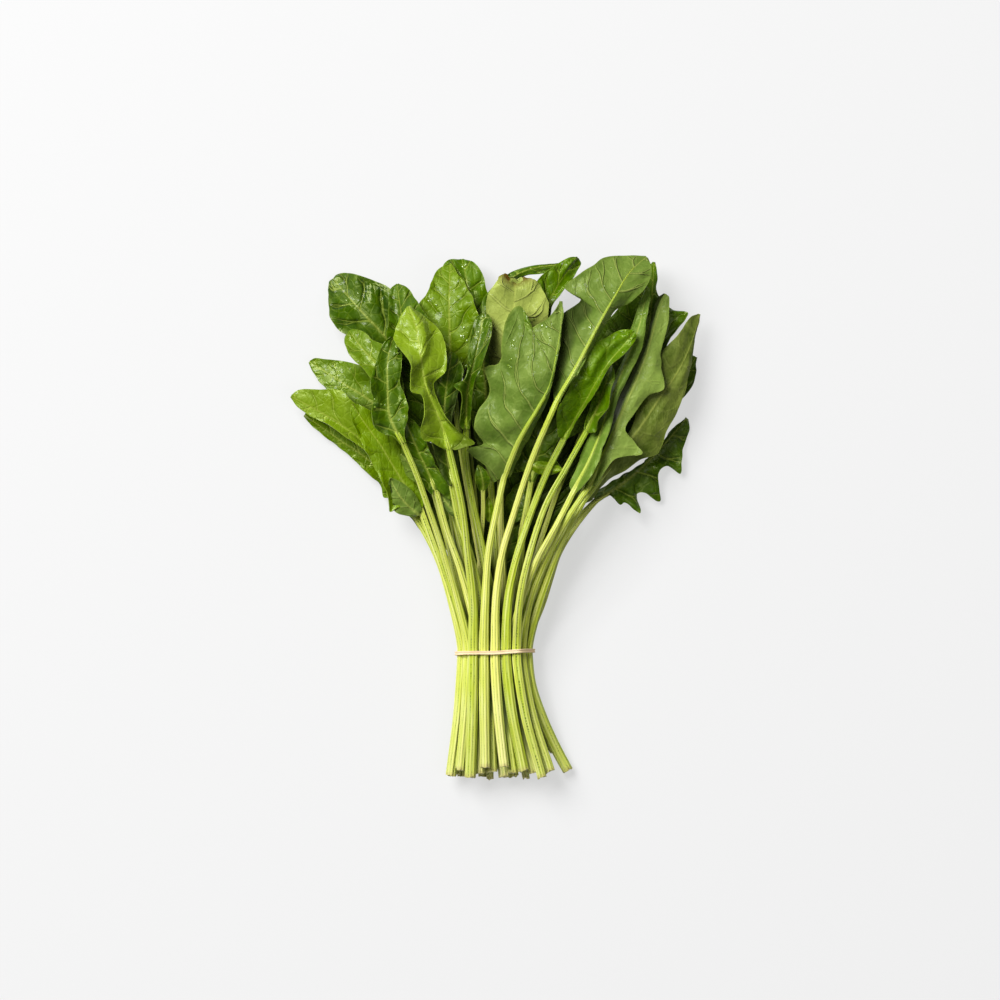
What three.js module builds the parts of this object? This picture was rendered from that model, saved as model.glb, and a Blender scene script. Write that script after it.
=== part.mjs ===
// A bunch of spinach lying on its side: cut leaves on long ribbed stalks, tied with one rubber band.
// Millimetres. +Z is up from the surface it lies on, +Y runs along the stalks to the leaf tips, and
// the origin is on the surface, under the middle of the band.
import * as THREE from "three";

// The bundle of stalks. At the band they lie in rows, each shifted half a stalk from the next.
const bundle = {
  rows: [5, 6, 7, 6, 5], // stalks in each row, from the lowest
  stalkPitch: 6.2,
  rowPitch: 4.6,
  packedLength: 4, // the rows stay packed this far to each side of the band's middle
  tailLength: 68, // from the band's middle to the cut ends
  tailSpread: 1.67, // how much wider the bundle is at the cut ends
  tailShift: 5, // how far the cut ends lie to the right
  tailFlare: 0.33, // the part of this spread and shift reached halfway to the cut ends
  tailDrop: 1.5, // how far the cut ends sink to the surface
  endShift: 1.8, // how far a cut end may stray to the side
  endStagger: 3.8, // how far the cut ends may be out of line
  gap: 0.3, // between stalks
};

const stalkSize = {
  width: 5.8,
  height: 5.0,
  neckWidth: 3.2, // where the blade starts
  neckHeight: 2.8,
  taper: 45, // the length above the band over which a stalk loses most of its extra width
  sides: 8,
  ridge: 0.93, // every second side line is drawn in, so the stalk is ridged along its length
  step: 11, // length between sections
};

const bladeSize = {
  thickness: 0.8,
  midribWidth: 3.4,
  midribRise: 1.3, // how far the midrib stands out of the underside, at its start
  neckGap: 0.3, // between the stalk's end and the blade
  tipWidth: 1.6,
  clearance: 1.1, // between leaves that lie on each other
};

const bandSize = { width: 2.9, thickness: 1.2, slack: 0.3, sides: 44 };

const colors = {
  stalk: "#b9c063",
  band: "#c39a72",
  dark: "#3c5a1b",
  mid: "#557428",
  light: "#78953a",
  olive: "#6f7a3c",
  grey: "#6d8048",
};

// The leaves, from the lowest to the highest. All outlines are in plan, seen from above:
//   slot       row and place in the row of its stalk, at the band
//   stalk      points the stalk runs through, from the band to the start of the blade
//   rib        the midrib, from the start of the blade to its tip
//   left/right the blade's edges on each side of the midrib, in pairs from start to tip
//   heights    of the midrib at its start, middle and tip, above the surface
//   cup        how far the edges stand above the midrib (below it if negative)
//   wave       height of the waves in the edges
//   underside  true where the leaf lies face down
//   joins      how far along the midrib each pair is joined to it, where that isn't the nearest place
//   tail       points from the stalk's cut end towards the band, if it strays from the others
const leaves = [
  {
    slot: [0, 0], tone: "mid", underside: false,
    heights: [4, 4, 0], cup: 1, wave: 1.5,
    stalk: [[-26, 48]],
    rib: [[-31.5, 58], [-52, 88], [-71, 108.5], [-91, 122.5], [-109, 135.5]],
    left: [[-36.5, 61], [-48, 76.5], [-60, 87], [-63.5, 88.5], [-65, 95], [-73, 102], [-80.5, 109.5],
      [-90, 117.5], [-99.5, 124.5], [-106.5, 131.5]],
    right: [[-24, 59.5], [-21, 76.5], [-24, 96], [-31.5, 114], [-45, 124.5], [-61, 126.5], [-73.5, 129],
      [-85, 131.5], [-95, 135], [-104.5, 138.5]],
  },
  {
    slot: [0, 1], tone: "dark", underside: false,
    heights: [8, 11, 0], cup: 3, wave: 2,
    stalk: [[-20, 75], [-37, 126.5]],
    rib: [[-52, 166.5], [-62.5, 179.5], [-77, 195], [-92.5, 213]],
    left: [[-58.5, 165.5], [-70, 171], [-81.5, 179], [-88.5, 183], [-93.5, 189], [-95, 197], [-95, 205],
      [-94.5, 210.5]],
    right: [[-47.5, 175], [-49.5, 186.5], [-54, 198], [-60, 207], [-68.5, 211.5], [-78, 215],
      [-85.5, 216], [-90, 215]],
  },
  {
    slot: [0, 2], tone: "dark", underside: false,
    heights: [5, 8, 8], cup: 2, wave: 1,
    stalk: [[2.5, 24]],
    rib: [[3.5, 36.5], [8.5, 64], [19, 98], [28.5, 129.5]],
    left: [[-5, 41], [-15.5, 52.5], [-22, 69.5], [-26, 86.5], [-27.5, 105], [-28, 125.5], [-26, 145],
      [-8.5, 155]],
    right: [[13, 40], [28.5, 51.5], [38, 66.5], [45, 82], [52, 95], [55.5, 108.5], [55.5, 121],
      [48.5, 135]],
  },
  {
    slot: [0, 3], tone: "dark", underside: false,
    heights: [6, 7, 1], cup: -1, wave: 1.5,
    stalk: [[26, 52.5], [50.5, 86.5]],
    rib: [[77, 112.5], [91, 132], [105.5, 152], [114.5, 168.5]],
    left: [[65.5, 117.5], [65, 125.5], [68, 133.5], [73.5, 142], [81.5, 150.5], [88.5, 157.5],
      [98.5, 165.5], [110, 169.5]],
    right: [[84, 110.5], [88.5, 117], [93, 123], [98, 132], [103.5, 141], [111, 149], [114, 155.5],
      [114.5, 162.5]],
  },
  {
    slot: [0, 4], tone: "dark", underside: false,
    heights: [6, 7, 0], cup: -2, wave: 2,
    stalk: [[33.5, 54.5], [42.5, 71]],
    rib: [[57.5, 86.5], [74, 97], [91, 112.5], [109.5, 133.5]],
    left: [[55.5, 90], [60, 93], [63.5, 95], [66.5, 97.5], [70, 99], [73.5, 101.5], [77, 103],
      [80.5, 105.5], [84, 107.5], [86.5, 110], [90, 112.5], [93.5, 116.5], [96.5, 121], [99.5, 125.5],
      [103, 129], [106.5, 131.5]],
    right: [[63.5, 88.5], [66.5, 89], [71, 84], [74.5, 85], [82.5, 79], [80.5, 88], [81.5, 90.5],
      [85.5, 90.5], [94, 86], [93, 101], [98, 106], [105.5, 101.5], [106.5, 108.5], [107, 115],
      [109, 121], [110.5, 126.5]],
  },
  {
    slot: [1, 1], tone: "light", underside: false,
    heights: [14, 14, 6], cup: 3, wave: 2,
    stalk: [[-31.5, 61], [-44, 92.5]],
    rib: [[-55.5, 121], [-68.5, 141], [-82.5, 150.5], [-94, 158], [-106, 165.5]],
    left: [[-60, 117.5], [-66.5, 123], [-76, 130], [-84, 137], [-89.5, 142.5], [-96, 149.5],
      [-101, 155.5], [-105, 161.5]],
    right: [[-53, 132], [-57, 143.5], [-62.5, 152], [-69, 158.5], [-76.5, 163], [-85.5, 165.5],
      [-94, 166.5], [-102, 167.5]],
  },
  {
    slot: [1, 0], tone: "light", underside: false,
    heights: [12, 15, 11], cup: 3, wave: 1.5,
    stalk: [[-33.5, 55.5], [-44, 75]],
    rib: [[-52, 86.5], [-61, 102.5], [-76, 120.5], [-94, 133.5], [-116.5, 146]],
    left: [[-56.5, 85.5], [-61.5, 94.5], [-66, 103.5], [-71, 111.5], [-78, 118], [-85.5, 123],
      [-95, 129.5], [-105.5, 134.5], [-112.5, 140]],
    right: [[-47.5, 93.5], [-50, 103.5], [-55.5, 114], [-62, 125], [-70, 134.5], [-80, 142],
      [-88.5, 149], [-101, 149.5], [-111, 149.5]],
  },
  {
    slot: [1, 2], tone: "dark", underside: false,
    heights: [14, 20, 12], cup: 3, wave: 1.5,
    stalk: [[-11, 81], [-15.5, 126.5]],
    rib: [[-17, 160.5], [-15.5, 183.5], [-15.5, 206.5], [-19, 224]],
    left: [[-22, 165.5], [-25.5, 175], [-27, 186.5], [-28, 198], [-28, 207.5], [-30, 217], [-27, 223]],
    right: [[-12, 165.5], [-8, 175], [-5.5, 186.5], [-4, 196], [-4.5, 205], [-7, 215], [-11.5, 221.5]],
  },
  {
    slot: [1, 3], tone: "dark", underside: false,
    heights: [14, 18, 12], cup: -2, wave: 2,
    stalk: [[-1, 75]],
    rib: [[-3.5, 112.5], [-5, 143.5], [-6.5, 175], [-4.5, 192], [3, 207], [17, 217], [40.5, 221]],
    left: [[-9.5, 116.5], [-13.5, 133.5], [-14, 152], [-12, 172], [-9, 190.5], [-7.5, 199.5], [-1, 208],
      [4.5, 213.5], [12.5, 217.5], [22, 220], [31.5, 221]],
    right: [[3, 121], [4, 138], [3, 155], [0.5, 172], [1.5, 188], [5, 196], [9, 203.5], [12.5, 210],
      [18, 214.5], [27.5, 215.5], [36, 218.5]],
  },
  {
    slot: [1, 4], tone: "dark", underside: false,
    heights: [15, 22, 14], cup: 4, wave: 1,
    stalk: [[16.5, 75]],
    rib: [[26, 115], [28.5, 146.5], [26, 175], [29, 195], [37, 211], [47.5, 225]],
    left: [[19, 121], [14, 141], [13, 160.5], [14, 178], [16.5, 192], [21, 203.5], [24, 211.5],
      [30, 217], [36.5, 221.5], [42, 224.5]],
    right: [[40.5, 121], [53, 130], [55.5, 145], [44, 162], [35, 175], [31.5, 186.5], [32.5, 196.5],
      [37.5, 204], [43.5, 211.5], [48.5, 220]],
  },
  {
    slot: [1, 5], tone: "dark", underside: false,
    heights: [10, 16, 10], cup: -2, wave: 1,
    stalk: [[35, 58], [60, 109.5]],
    rib: [[79, 142.5], [86, 172], [89, 198], [90.5, 222.5]],
    left: [[63.5, 142.5], [55.5, 157.5], [53, 171], [58.5, 183.5], [67.5, 192.5], [75, 202.5],
      [82, 211.5], [87, 219]],
    right: [[88.5, 146], [94, 160.5], [98, 175], [103.5, 183.5], [110, 193], [100.5, 195], [92.5, 204],
      [92.5, 215]],
  },
  {
    slot: [2, 3], tone: "mid", underside: false,
    heights: [20, 30, 20], cup: 3, wave: 2,
    stalk: [[-12, 75], [-19, 115]],
    rib: [[-24, 152], [-25.5, 172], [-26, 189], [-26, 206.5], [-25.5, 221.5]],
    left: [[-28, 156], [-32.5, 165.5], [-37, 175], [-41.5, 186.5], [-43.5, 197], [-39, 204], [-36, 211],
      [-33, 217.5]],
    right: [[-19, 158], [-13, 167.5], [-9.5, 178], [-8.5, 188], [-11, 197], [-14, 204], [-17.5, 210.5],
      [-21.5, 216]],
  },
  {
    slot: [2, 2], tone: "dark", underside: false,
    heights: [18, 26, 18], cup: 3, wave: 1,
    stalk: [[-23, 75], [-28.5, 103.5]],
    rib: [[-32.5, 121], [-38, 148], [-45, 166.5], [-50.5, 180.5], [-54, 198], [-55.5, 210]],
    left: [[-40.5, 123], [-49.5, 134.5], [-53.5, 148], [-56.5, 160.5], [-59.5, 172], [-61.5, 180.5],
      [-60.5, 190.5], [-60.5, 199.5], [-59.5, 206.5]],
    right: [[-27, 126.5], [-27.5, 141], [-29, 152], [-29, 162], [-30, 173.5], [-35, 186.5], [-41, 194.5],
      [-46, 202.5], [-50.5, 208]],
  },
  {
    slot: [2, 1], tone: "light", underside: false,
    heights: [18, 20, 11], cup: 2, wave: 2,
    stalk: [[-28.5, 69.5], [-41.5, 112.5]],
    rib: [[-53, 143.5], [-58.5, 152], [-66.5, 163], [-76, 173.5], [-83, 183]],
    left: [[-58.5, 141.5], [-64.5, 146.5], [-69.5, 154], [-74.5, 160.5], [-80.5, 166.5], [-84.5, 172],
      [-86, 178]],
    right: [[-52, 152], [-54, 160.5], [-57.5, 168], [-63.5, 174.5], [-70, 178], [-75, 182.5],
      [-80.5, 184]],
  },
  {
    slot: [2, 0], tone: "mid", underside: false,
    heights: [16, 18, 17], cup: 3, wave: 2,
    stalk: [[-29, 44], [-36, 64]],
    rib: [[-42.5, 82], [-48.5, 91], [-57.5, 105], [-65.5, 118.5], [-73.5, 129.5], [-81.5, 141.5]],
    left: [[-48, 80], [-52.5, 78.5], [-54.5, 82.5], [-59.5, 80], [-60.5, 88], [-63.5, 96],
      [-67.5, 103.5], [-73.5, 114], [-78, 123], [-82, 133.5]],
    right: [[-40.5, 88], [-44, 96], [-46, 103.5], [-49.5, 111.5], [-53, 118.5], [-56.5, 124.5],
      [-61, 130], [-66.5, 135], [-72.5, 138.5], [-78, 141]],
  },
  {
    slot: [2, 4], tone: "olive", underside: true,
    heights: [24, 34, 22], cup: -4, wave: 1,
    stalk: [[3, 86.5], [4.5, 121]],
    rib: [[5.5, 143.5], [7.5, 163.5], [9.5, 183.5], [11, 200.5], [11.5, 213]],
    left: [[1.5, 146.5], [-1, 156], [-3, 167.5], [-4, 179], [-5, 190.5], [-5, 200.5], [-1, 208],
      [4.5, 214.5]],
    right: [[12, 146.5], [17.5, 156], [23, 167.5], [27, 179], [30, 190.5], [30, 199.5], [26, 208],
      [19.5, 213.5]],
  },
  {
    slot: [2, 5], tone: "dark", underside: false,
    heights: [20, 26, 24], cup: 2, wave: 2,
    stalk: [[15.5, 64]],
    rib: [[20.5, 97], [24.5, 112.5], [30, 129.5], [37, 146.5]],
    left: [[16.5, 103.5], [10.5, 102.5], [14, 112.5], [16.5, 121], [20, 129.5], [24.5, 138], [30, 143.5]],
    right: [[25.5, 101.5], [37.5, 103.5], [32.5, 111.5], [34, 116.5], [37, 122], [41, 129.5],
      [41.5, 139]],
  },
  {
    slot: [2, 6], tone: "olive", underside: true,
    heights: [14, 22, 12], cup: -3, wave: 1.5,
    tail: [[41.5, -67.5], [35, -55.5], [27, -38], [20.5, -19]],
    stalk: [[37, 61]],
    rib: [[49.5, 85], [68.5, 109.5], [82.5, 128], [94, 145], [104.5, 160.5], [112.5, 178], [116.5, 193]],
    left: [[51.5, 91], [57.5, 99], [64.5, 108.5], [71, 117.5], [78.5, 129.5], [82.5, 143.5], [88.5, 156],
      [94, 169.5], [103.5, 180], [110.5, 190]],
    right: [[55.5, 87], [60.5, 94], [66.5, 99.5], [74.5, 103.5], [82.5, 109.5], [93, 113.5],
      [97.5, 125.5], [105.5, 141], [111, 160.5], [114, 179.5]],
  },
  {
    slot: [3, 1], tone: "dark", underside: false,
    heights: [20, 24, 22], cup: 2, wave: 1,
    stalk: [[-19.5, 46.5], [-27.5, 69.5]],
    rib: [[-33.5, 92.5], [-39, 105], [-45.5, 118.5], [-52, 135]],
    left: [[-36.5, 90], [-42, 97.5], [-46.5, 105], [-52, 114], [-53, 122], [-53.5, 130]],
    right: [[-26, 87], [-25.5, 93.5], [-31, 102], [-35.5, 111], [-40, 123], [-46, 131.5]],
  },
  {
    slot: [3, 0], tone: "dark", underside: false,
    heights: [26, 34, 26], cup: 3, wave: 2,
    stalk: [[-29, 55.5], [-37.5, 81], [-44.5, 101]],
    rib: [[-52, 118.5], [-56.5, 126.5], [-60, 135], [-61, 149.5], [-61, 163.5], [-58.5, 179.5]],
    left: [[-57.5, 122.5], [-64, 124.5], [-69, 129.5], [-70, 137], [-69, 143.5], [-71, 151],
      [-69.5, 159.5], [-66.5, 168], [-63.5, 175.5]],
    right: [[-51.5, 124.5], [-50, 131.5], [-49.5, 136], [-49, 140], [-52, 147.5], [-54, 155], [-53, 163],
      [-53, 171], [-56, 176.5]],
  },
  {
    slot: [3, 2], tone: "dark", underside: false,
    heights: [24, 34, 30], cup: 4, wave: 1,
    stalk: [[-14, 55.5], [-20.5, 75]],
    rib: [[-24.5, 95], [-28, 115], [-29, 135], [-27.5, 152], [-24.5, 171]],
    left: [[-28.5, 98], [-32.5, 106.5], [-35, 116.5], [-36, 129.5], [-35.5, 143.5], [-33.5, 154],
      [-29.5, 165.5]],
    right: [[-21, 99], [-21, 109.5], [-23, 121], [-24.5, 132], [-22, 143.5], [-18, 158], [-20, 166.5]],
  },
  {
    slot: [3, 3], tone: "dark", underside: false,
    heights: [26, 38, 34], cup: 4, wave: 1,
    stalk: [[-6.5, 55.5], [-13, 86.5], [-16.5, 109.5]],
    rib: [[-16.5, 126.5], [-16, 146.5], [-13, 162], [-9, 178], [-6.5, 193]],
    left: [[-20, 129.5], [-19, 139], [-19, 147.5], [-23.5, 151.5], [-18, 154.5], [-16, 159.5],
      [-15.5, 167.5], [-14, 178], [-11.5, 189]],
    right: [[-14, 129.5], [-13.5, 139], [-13, 147.5], [-11.5, 154], [-8.5, 160.5], [-5.5, 168.5],
      [-3, 176.5], [-1.5, 184.5], [-3, 191]],
  },
  {
    slot: [3, 5], tone: "grey", underside: true,
    heights: [18, 28, 18], cup: -4, wave: 1,
    stalk: [[20, 29.5], [30, 55.5], [41.5, 76.5]],
    rib: [[54, 95], [64.5, 118], [72.5, 137], [80.5, 155], [87, 172], [91, 186.5], [97, 204.5]],
    left: [[50, 97], [54, 105.5], [57.5, 112.5], [60, 118.5], [62.5, 125.5], [66.5, 135.5], [71, 145.5],
      [76, 155], [80.5, 164.5], [85.5, 176], [88.5, 189], [92, 200.5]],
    right: [[58.5, 96], [66.5, 108.5], [74, 111.5], [84, 113.5], [74.5, 126], [79, 135.5], [87, 146],
      [96, 150], [94.5, 163], [94.5, 172], [98, 186.5], [99, 200.5]],
  },
  {
    slot: [3, 4], tone: "mid", underside: true,
    heights: [22, 32, 25], cup: -5, wave: 1,
    stalk: [[15, 29.5], [24, 52.5], [35, 72.5]],
    rib: [[44.5, 91], [53, 106.5], [60, 123.5], [66.5, 143.5], [74, 163.5], [81.5, 183.5], [87, 208.5]],
    left: [[42.5, 96], [46, 103.5], [50, 115], [55.5, 126.5], [61.5, 137], [65, 148], [70, 160.5],
      [75, 172], [78.5, 188], [84, 203]],
    right: [[49, 93.5], [54, 99], [57.5, 105], [61.5, 116.5], [65.5, 127.5], [69.5, 143.5], [77, 159],
      [83, 172], [86, 189], [88, 200.5]],
  },
  {
    slot: [4, 4], tone: "dark", underside: false,
    heights: [22, 28, 27], cup: 1, wave: 2,
    stalk: [[14, 29.5], [19.5, 55.5], [29, 84], [40.5, 105]],
    rib: [[52, 125.5], [57.5, 137], [62, 149.5], [66.5, 163.5]],
    left: [[51.5, 132], [54, 139], [56, 146.5], [57.5, 152], [62, 158.5]],
    right: [[57.5, 125.5], [58.5, 132], [64.5, 139], [65.5, 148], [68, 156]],
  },
  {
    slot: [4, 3], tone: "dark", underside: false,
    heights: [26, 35, 27], cup: 4, wave: 1,
    stalk: [[7.5, 29.5], [12, 52.5], [20, 78], [29, 101]],
    rib: [[39, 121], [44, 130], [51.5, 142.5], [58.5, 155], [65.5, 165.5], [73.5, 175], [79, 183]],
    left: [[36, 123], [35, 130], [35.5, 138], [39, 144], [43.5, 154], [48, 163], [53.5, 173.5],
      [62, 178], [71, 183]],
    right: [[42, 123], [46.5, 132], [52.5, 141], [57, 148], [61.5, 156], [66, 163.5], [72.5, 168.5],
      [77.5, 174], [80.5, 179.5]],
  },
  {
    slot: [4, 2], tone: "grey", underside: true,
    heights: [28, 42, 31], cup: -4, wave: 2,
    stalk: [[0.5, 29.5], [4, 55.5], [9.5, 75], [21, 109.5]],
    rib: [[35, 142.5], [45.5, 160.5], [58, 184.5], [68.5, 203], [77, 216.5], [86.5, 225]],
    left: [[33, 146.5], [32.5, 156], [33, 166.5], [35.5, 179], [38, 191.5], [49, 200.5], [39.5, 207],
      [48.5, 215.5], [56, 220], [62.5, 224.5], [77, 225.5]],
    right: [[38, 145.5], [42.5, 152], [48, 159.5], [53, 169.5], [58.5, 179], [63.5, 187.5], [69, 195],
      [77, 199], [84.5, 206], [88.5, 213.5], [89, 220]],
  },
  {
    slot: [4, 1], tone: "grey", underside: true,
    heights: [30, 48, 42], cup: -5, wave: 2,
    stalk: [[-5.5, 29.5], [-3.5, 58], [1, 81]],
    rib: [[5, 99], [14, 121], [24, 138], [31.5, 152], [35, 169.5], [37.5, 186.5], [37.5, 200]],
    left: [[-1, 97], [-5, 105.5], [-15.5, 115], [-6.5, 118.5], [-11.5, 127.5], [-10.5, 136], [-3, 147.5],
      [-5.5, 161.5], [2.5, 164.5], [4, 175], [5.5, 186], [10.5, 195.5], [16, 195.5], [17.5, 183],
      [24.5, 186.5], [31, 190.5], [35, 196]],
    right: [[9, 100.5], [12.5, 108.5], [16, 115.5], [19, 121], [21.5, 126.5], [25, 133], [28.5, 140],
      [31, 146], [32, 150.5], [33, 155], [33.5, 159], [34, 163], [35.5, 167.5], [36.5, 172], [37.5, 179],
      [38, 185], [39, 192.5]],
    joins: [0.02, 0.08, 0.14, 0.2, 0.26, 0.31, 0.36, 0.41, 0.45, 0.49, 0.53, 0.57, 0.61, 0.66, 0.76, 0.85, 0.93],
  },
  {
    slot: [4, 0], tone: "light", underside: false,
    heights: [32, 46, 32], cup: 4, wave: 2,
    stalk: [[-12.5, 29.5], [-15.5, 55.5], [-19, 84]],
    rib: [[-26, 115], [-29, 125.5], [-33, 137], [-39, 150.5], [-42, 166.5], [-44.5, 183.5], [-49, 197]],
    left: [[-31, 116.5], [-36, 119.5], [-41, 120.5], [-42.5, 126.5], [-40, 135], [-41.5, 145.5],
      [-48, 149], [-48, 163.5], [-56, 175], [-57, 181.5], [-53.5, 190.5]],
    right: [[-22, 115], [-17.5, 116.5], [-11.5, 119], [-19.5, 124.5], [-26, 131], [-31, 140], [-35, 152],
      [-27.5, 160.5], [-28.5, 175], [-32.5, 184], [-40.5, 191]],
  },
];

// ---- The height map: the top of everything laid down so far ----

const cell = 1;
const mapOrigin = { x: -130, y: -85 };
const mapSize = { columns: 270, rows: 330 };

function makeMap() {
  return new Float32Array(mapSize.columns * mapSize.rows);
}

// Calls visit(cellIndex, weights) for each cell that the triangle covers or nearly touches. The
// weights give the cell's middle as a mix of the three corners.
function visitCells([a, b, c], visit) {
  const area = (b.x - a.x) * (c.y - a.y) - (b.y - a.y) * (c.x - a.x);
  if (Math.abs(area) < 1e-9) return;
  const longest = Math.max(
    Math.hypot(b.x - a.x, b.y - a.y),
    Math.hypot(c.x - b.x, c.y - b.y),
    Math.hypot(a.x - c.x, a.y - c.y),
  );
  const slack = (0.8 * cell * longest) / Math.abs(area);
  const toColumn = (x) => Math.floor((x - mapOrigin.x) / cell);
  const toRow = (y) => Math.floor((y - mapOrigin.y) / cell);
  const firstColumn = toColumn(Math.min(a.x, b.x, c.x) - cell);
  const lastColumn = toColumn(Math.max(a.x, b.x, c.x) + cell);
  const firstRow = toRow(Math.min(a.y, b.y, c.y) - cell);
  const lastRow = toRow(Math.max(a.y, b.y, c.y) + cell);
  for (let row = firstRow; row <= lastRow; row++) {
    for (let column = firstColumn; column <= lastColumn; column++) {
      const x = mapOrigin.x + (column + 0.5) * cell;
      const y = mapOrigin.y + (row + 0.5) * cell;
      const wb = ((x - a.x) * (c.y - a.y) - (y - a.y) * (c.x - a.x)) / area;
      const wc = ((b.x - a.x) * (y - a.y) - (b.y - a.y) * (x - a.x)) / area;
      const weights = [1 - wb - wc, wb, wc];
      if (Math.min(...weights) < -slack) continue;
      const inside = weights.map((w) => Math.max(w, 0));
      const sum = inside[0] + inside[1] + inside[2];
      visit(row * mapSize.columns + column, inside.map((w) => w / sum));
    }
  }
}

// How steeply a triangle of points with heights rises.
function steepness([a, b, c], height) {
  const area = (b.x - a.x) * (c.y - a.y) - (b.y - a.y) * (c.x - a.x);
  if (Math.abs(area) < 1e-9) return 0;
  const [ha, hb, hc] = [height(a), height(b), height(c)];
  const gx = ((hb - ha) * (c.y - a.y) - (hc - ha) * (b.y - a.y)) / area;
  const gy = ((hc - ha) * (b.x - a.x) - (hb - ha) * (c.x - a.x)) / area;
  return Math.hypot(gx, gy);
}

function layOnMap(map, triangles) {
  for (const triangle of triangles) {
    const rise = Math.min(steepness(triangle, (p) => p.z), 2) * 0.5 * cell;
    visitCells(triangle, (index, w) => {
      const top = triangle.reduce((sum, p, i) => sum + w[i] * (p.z + p.up), 0);
      map[index] = Math.max(map[index], top + rise);
    });
  }
}

// ---- The plan of one leaf ----

function curveThrough(points) {
  return new THREE.CatmullRomCurve3(
    points.map(([x, y]) => new THREE.Vector3(x, y, 0)),
    false,
    "centripetal",
  );
}

function slotPlace([row, place]) {
  const lowest = bandSize.thickness + bandSize.slack + stalkSize.height / 2;
  return {
    x: (place - (bundle.rows[row] - 1) / 2) * bundle.stalkPitch,
    z: lowest + row * bundle.rowPitch,
  };
}

// Shares of a curve's length from one share to another, in steps of about a given length.
function evenShares(from, to, length, step) {
  const count = Math.max(1, Math.round(((to - from) * length) / step));
  return Array.from({ length: count }, (_, i) => from + ((i + 1) / count) * (to - from));
}

// The share of its length at which a curve that climbs in y reaches a given y.
function shareAtY(plan, y) {
  let [low, high] = [0, 1];
  for (let round = 0; round < 30; round++) {
    const middle = (low + high) / 2;
    if (plan.getPointAt(middle).y < y) low = middle;
    else high = middle;
  }
  return low;
}

// Points along the stalk's middle line, from the cut end to the blade.
function stalkLine(leaf, random) {
  const slot = slotPlace(leaf.slot);
  const endX = slot.x * bundle.tailSpread + bundle.tailShift + bundle.endShift * random();
  const endY = -bundle.tailLength - bundle.endStagger * random();
  const halfway = [THREE.MathUtils.lerp(slot.x, endX, bundle.tailFlare), endY / 2];
  const tail = leaf.tail ?? [[endX, endY], halfway];
  const packed = bundle.packedLength;
  const plan = curveThrough([...tail, [slot.x, -packed], [slot.x, packed], ...leaf.stalk, leaf.rib[0]]);
  plan.arcLengthDivisions = 800;
  const length = plan.getLength();
  const tailShare = shareAtY(plan, -packed);
  const freeShare = shareAtY(plan, packed);
  const shares = [
    0,
    ...evenShares(0, tailShare, length, stalkSize.step),
    freeShare,
    ...evenShares(freeShare, 1, length, stalkSize.step),
  ];
  const endHeight = leaf.tail ? stalkSize.height / 2 : slot.z - bundle.tailDrop;
  return shares.map((share) => {
    const point = plan.getPointAt(share);
    const tangent = plan.getTangentAt(share);
    const beyond = THREE.MathUtils.smoothstep(share, freeShare, 1);
    const behind = THREE.MathUtils.smoothstep(tailShare - share, 0, tailShare);
    const lift = THREE.MathUtils.lerp(slot.z, leaf.heights[0], beyond);
    const above = Math.max(share - freeShare, 0) * length;
    const narrowing = 1 - Math.exp(-above / stalkSize.taper);
    return {
      x: point.x,
      y: point.y,
      target: THREE.MathUtils.lerp(lift, endHeight, behind),
      fixed: share > tailShare - 0.001 && share < freeShare + 0.001,
      direction: { x: tangent.x, y: tangent.y },
      width: THREE.MathUtils.lerp(stalkSize.width, stalkSize.neckWidth, narrowing),
      height: THREE.MathUtils.lerp(stalkSize.height, stalkSize.neckHeight, narrowing),
    };
  });
}

// Where a place on the plan lies along a curve, from 0 to 1.
function shareAlong(curvePoints, [x, y]) {
  let best = { distance: Infinity, share: 0 };
  curvePoints.forEach((point, i) => {
    const distance = Math.hypot(point.x - x, point.y - y);
    if (distance < best.distance) best = { distance, share: i / (curvePoints.length - 1) };
  });
  return best.share;
}

// How far along the midrib each pair of edge points is joined to it.
function ribShares(leaf) {
  if (leaf.joins) return leaf.joins;
  const ribPoints = curveThrough(leaf.rib).getSpacedPoints(60);
  const count = leaf.left.length;
  const least = 0.02;
  const shares = leaf.left.map((edge, k) => {
    const even = (k + 1) / (count + 1);
    const nearest = (shareAlong(ribPoints, edge) + shareAlong(ribPoints, leaf.right[k])) / 2;
    return 0.35 * even + 0.65 * nearest;
  });
  for (let k = 0; k < count; k++) shares[k] = Math.max(shares[k], (k ? shares[k - 1] : 0) + least);
  for (let k = count - 1; k >= 0; k--)
    shares[k] = Math.min(shares[k], (k < count - 1 ? shares[k + 1] : 1) - least);
  return shares;
}

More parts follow.
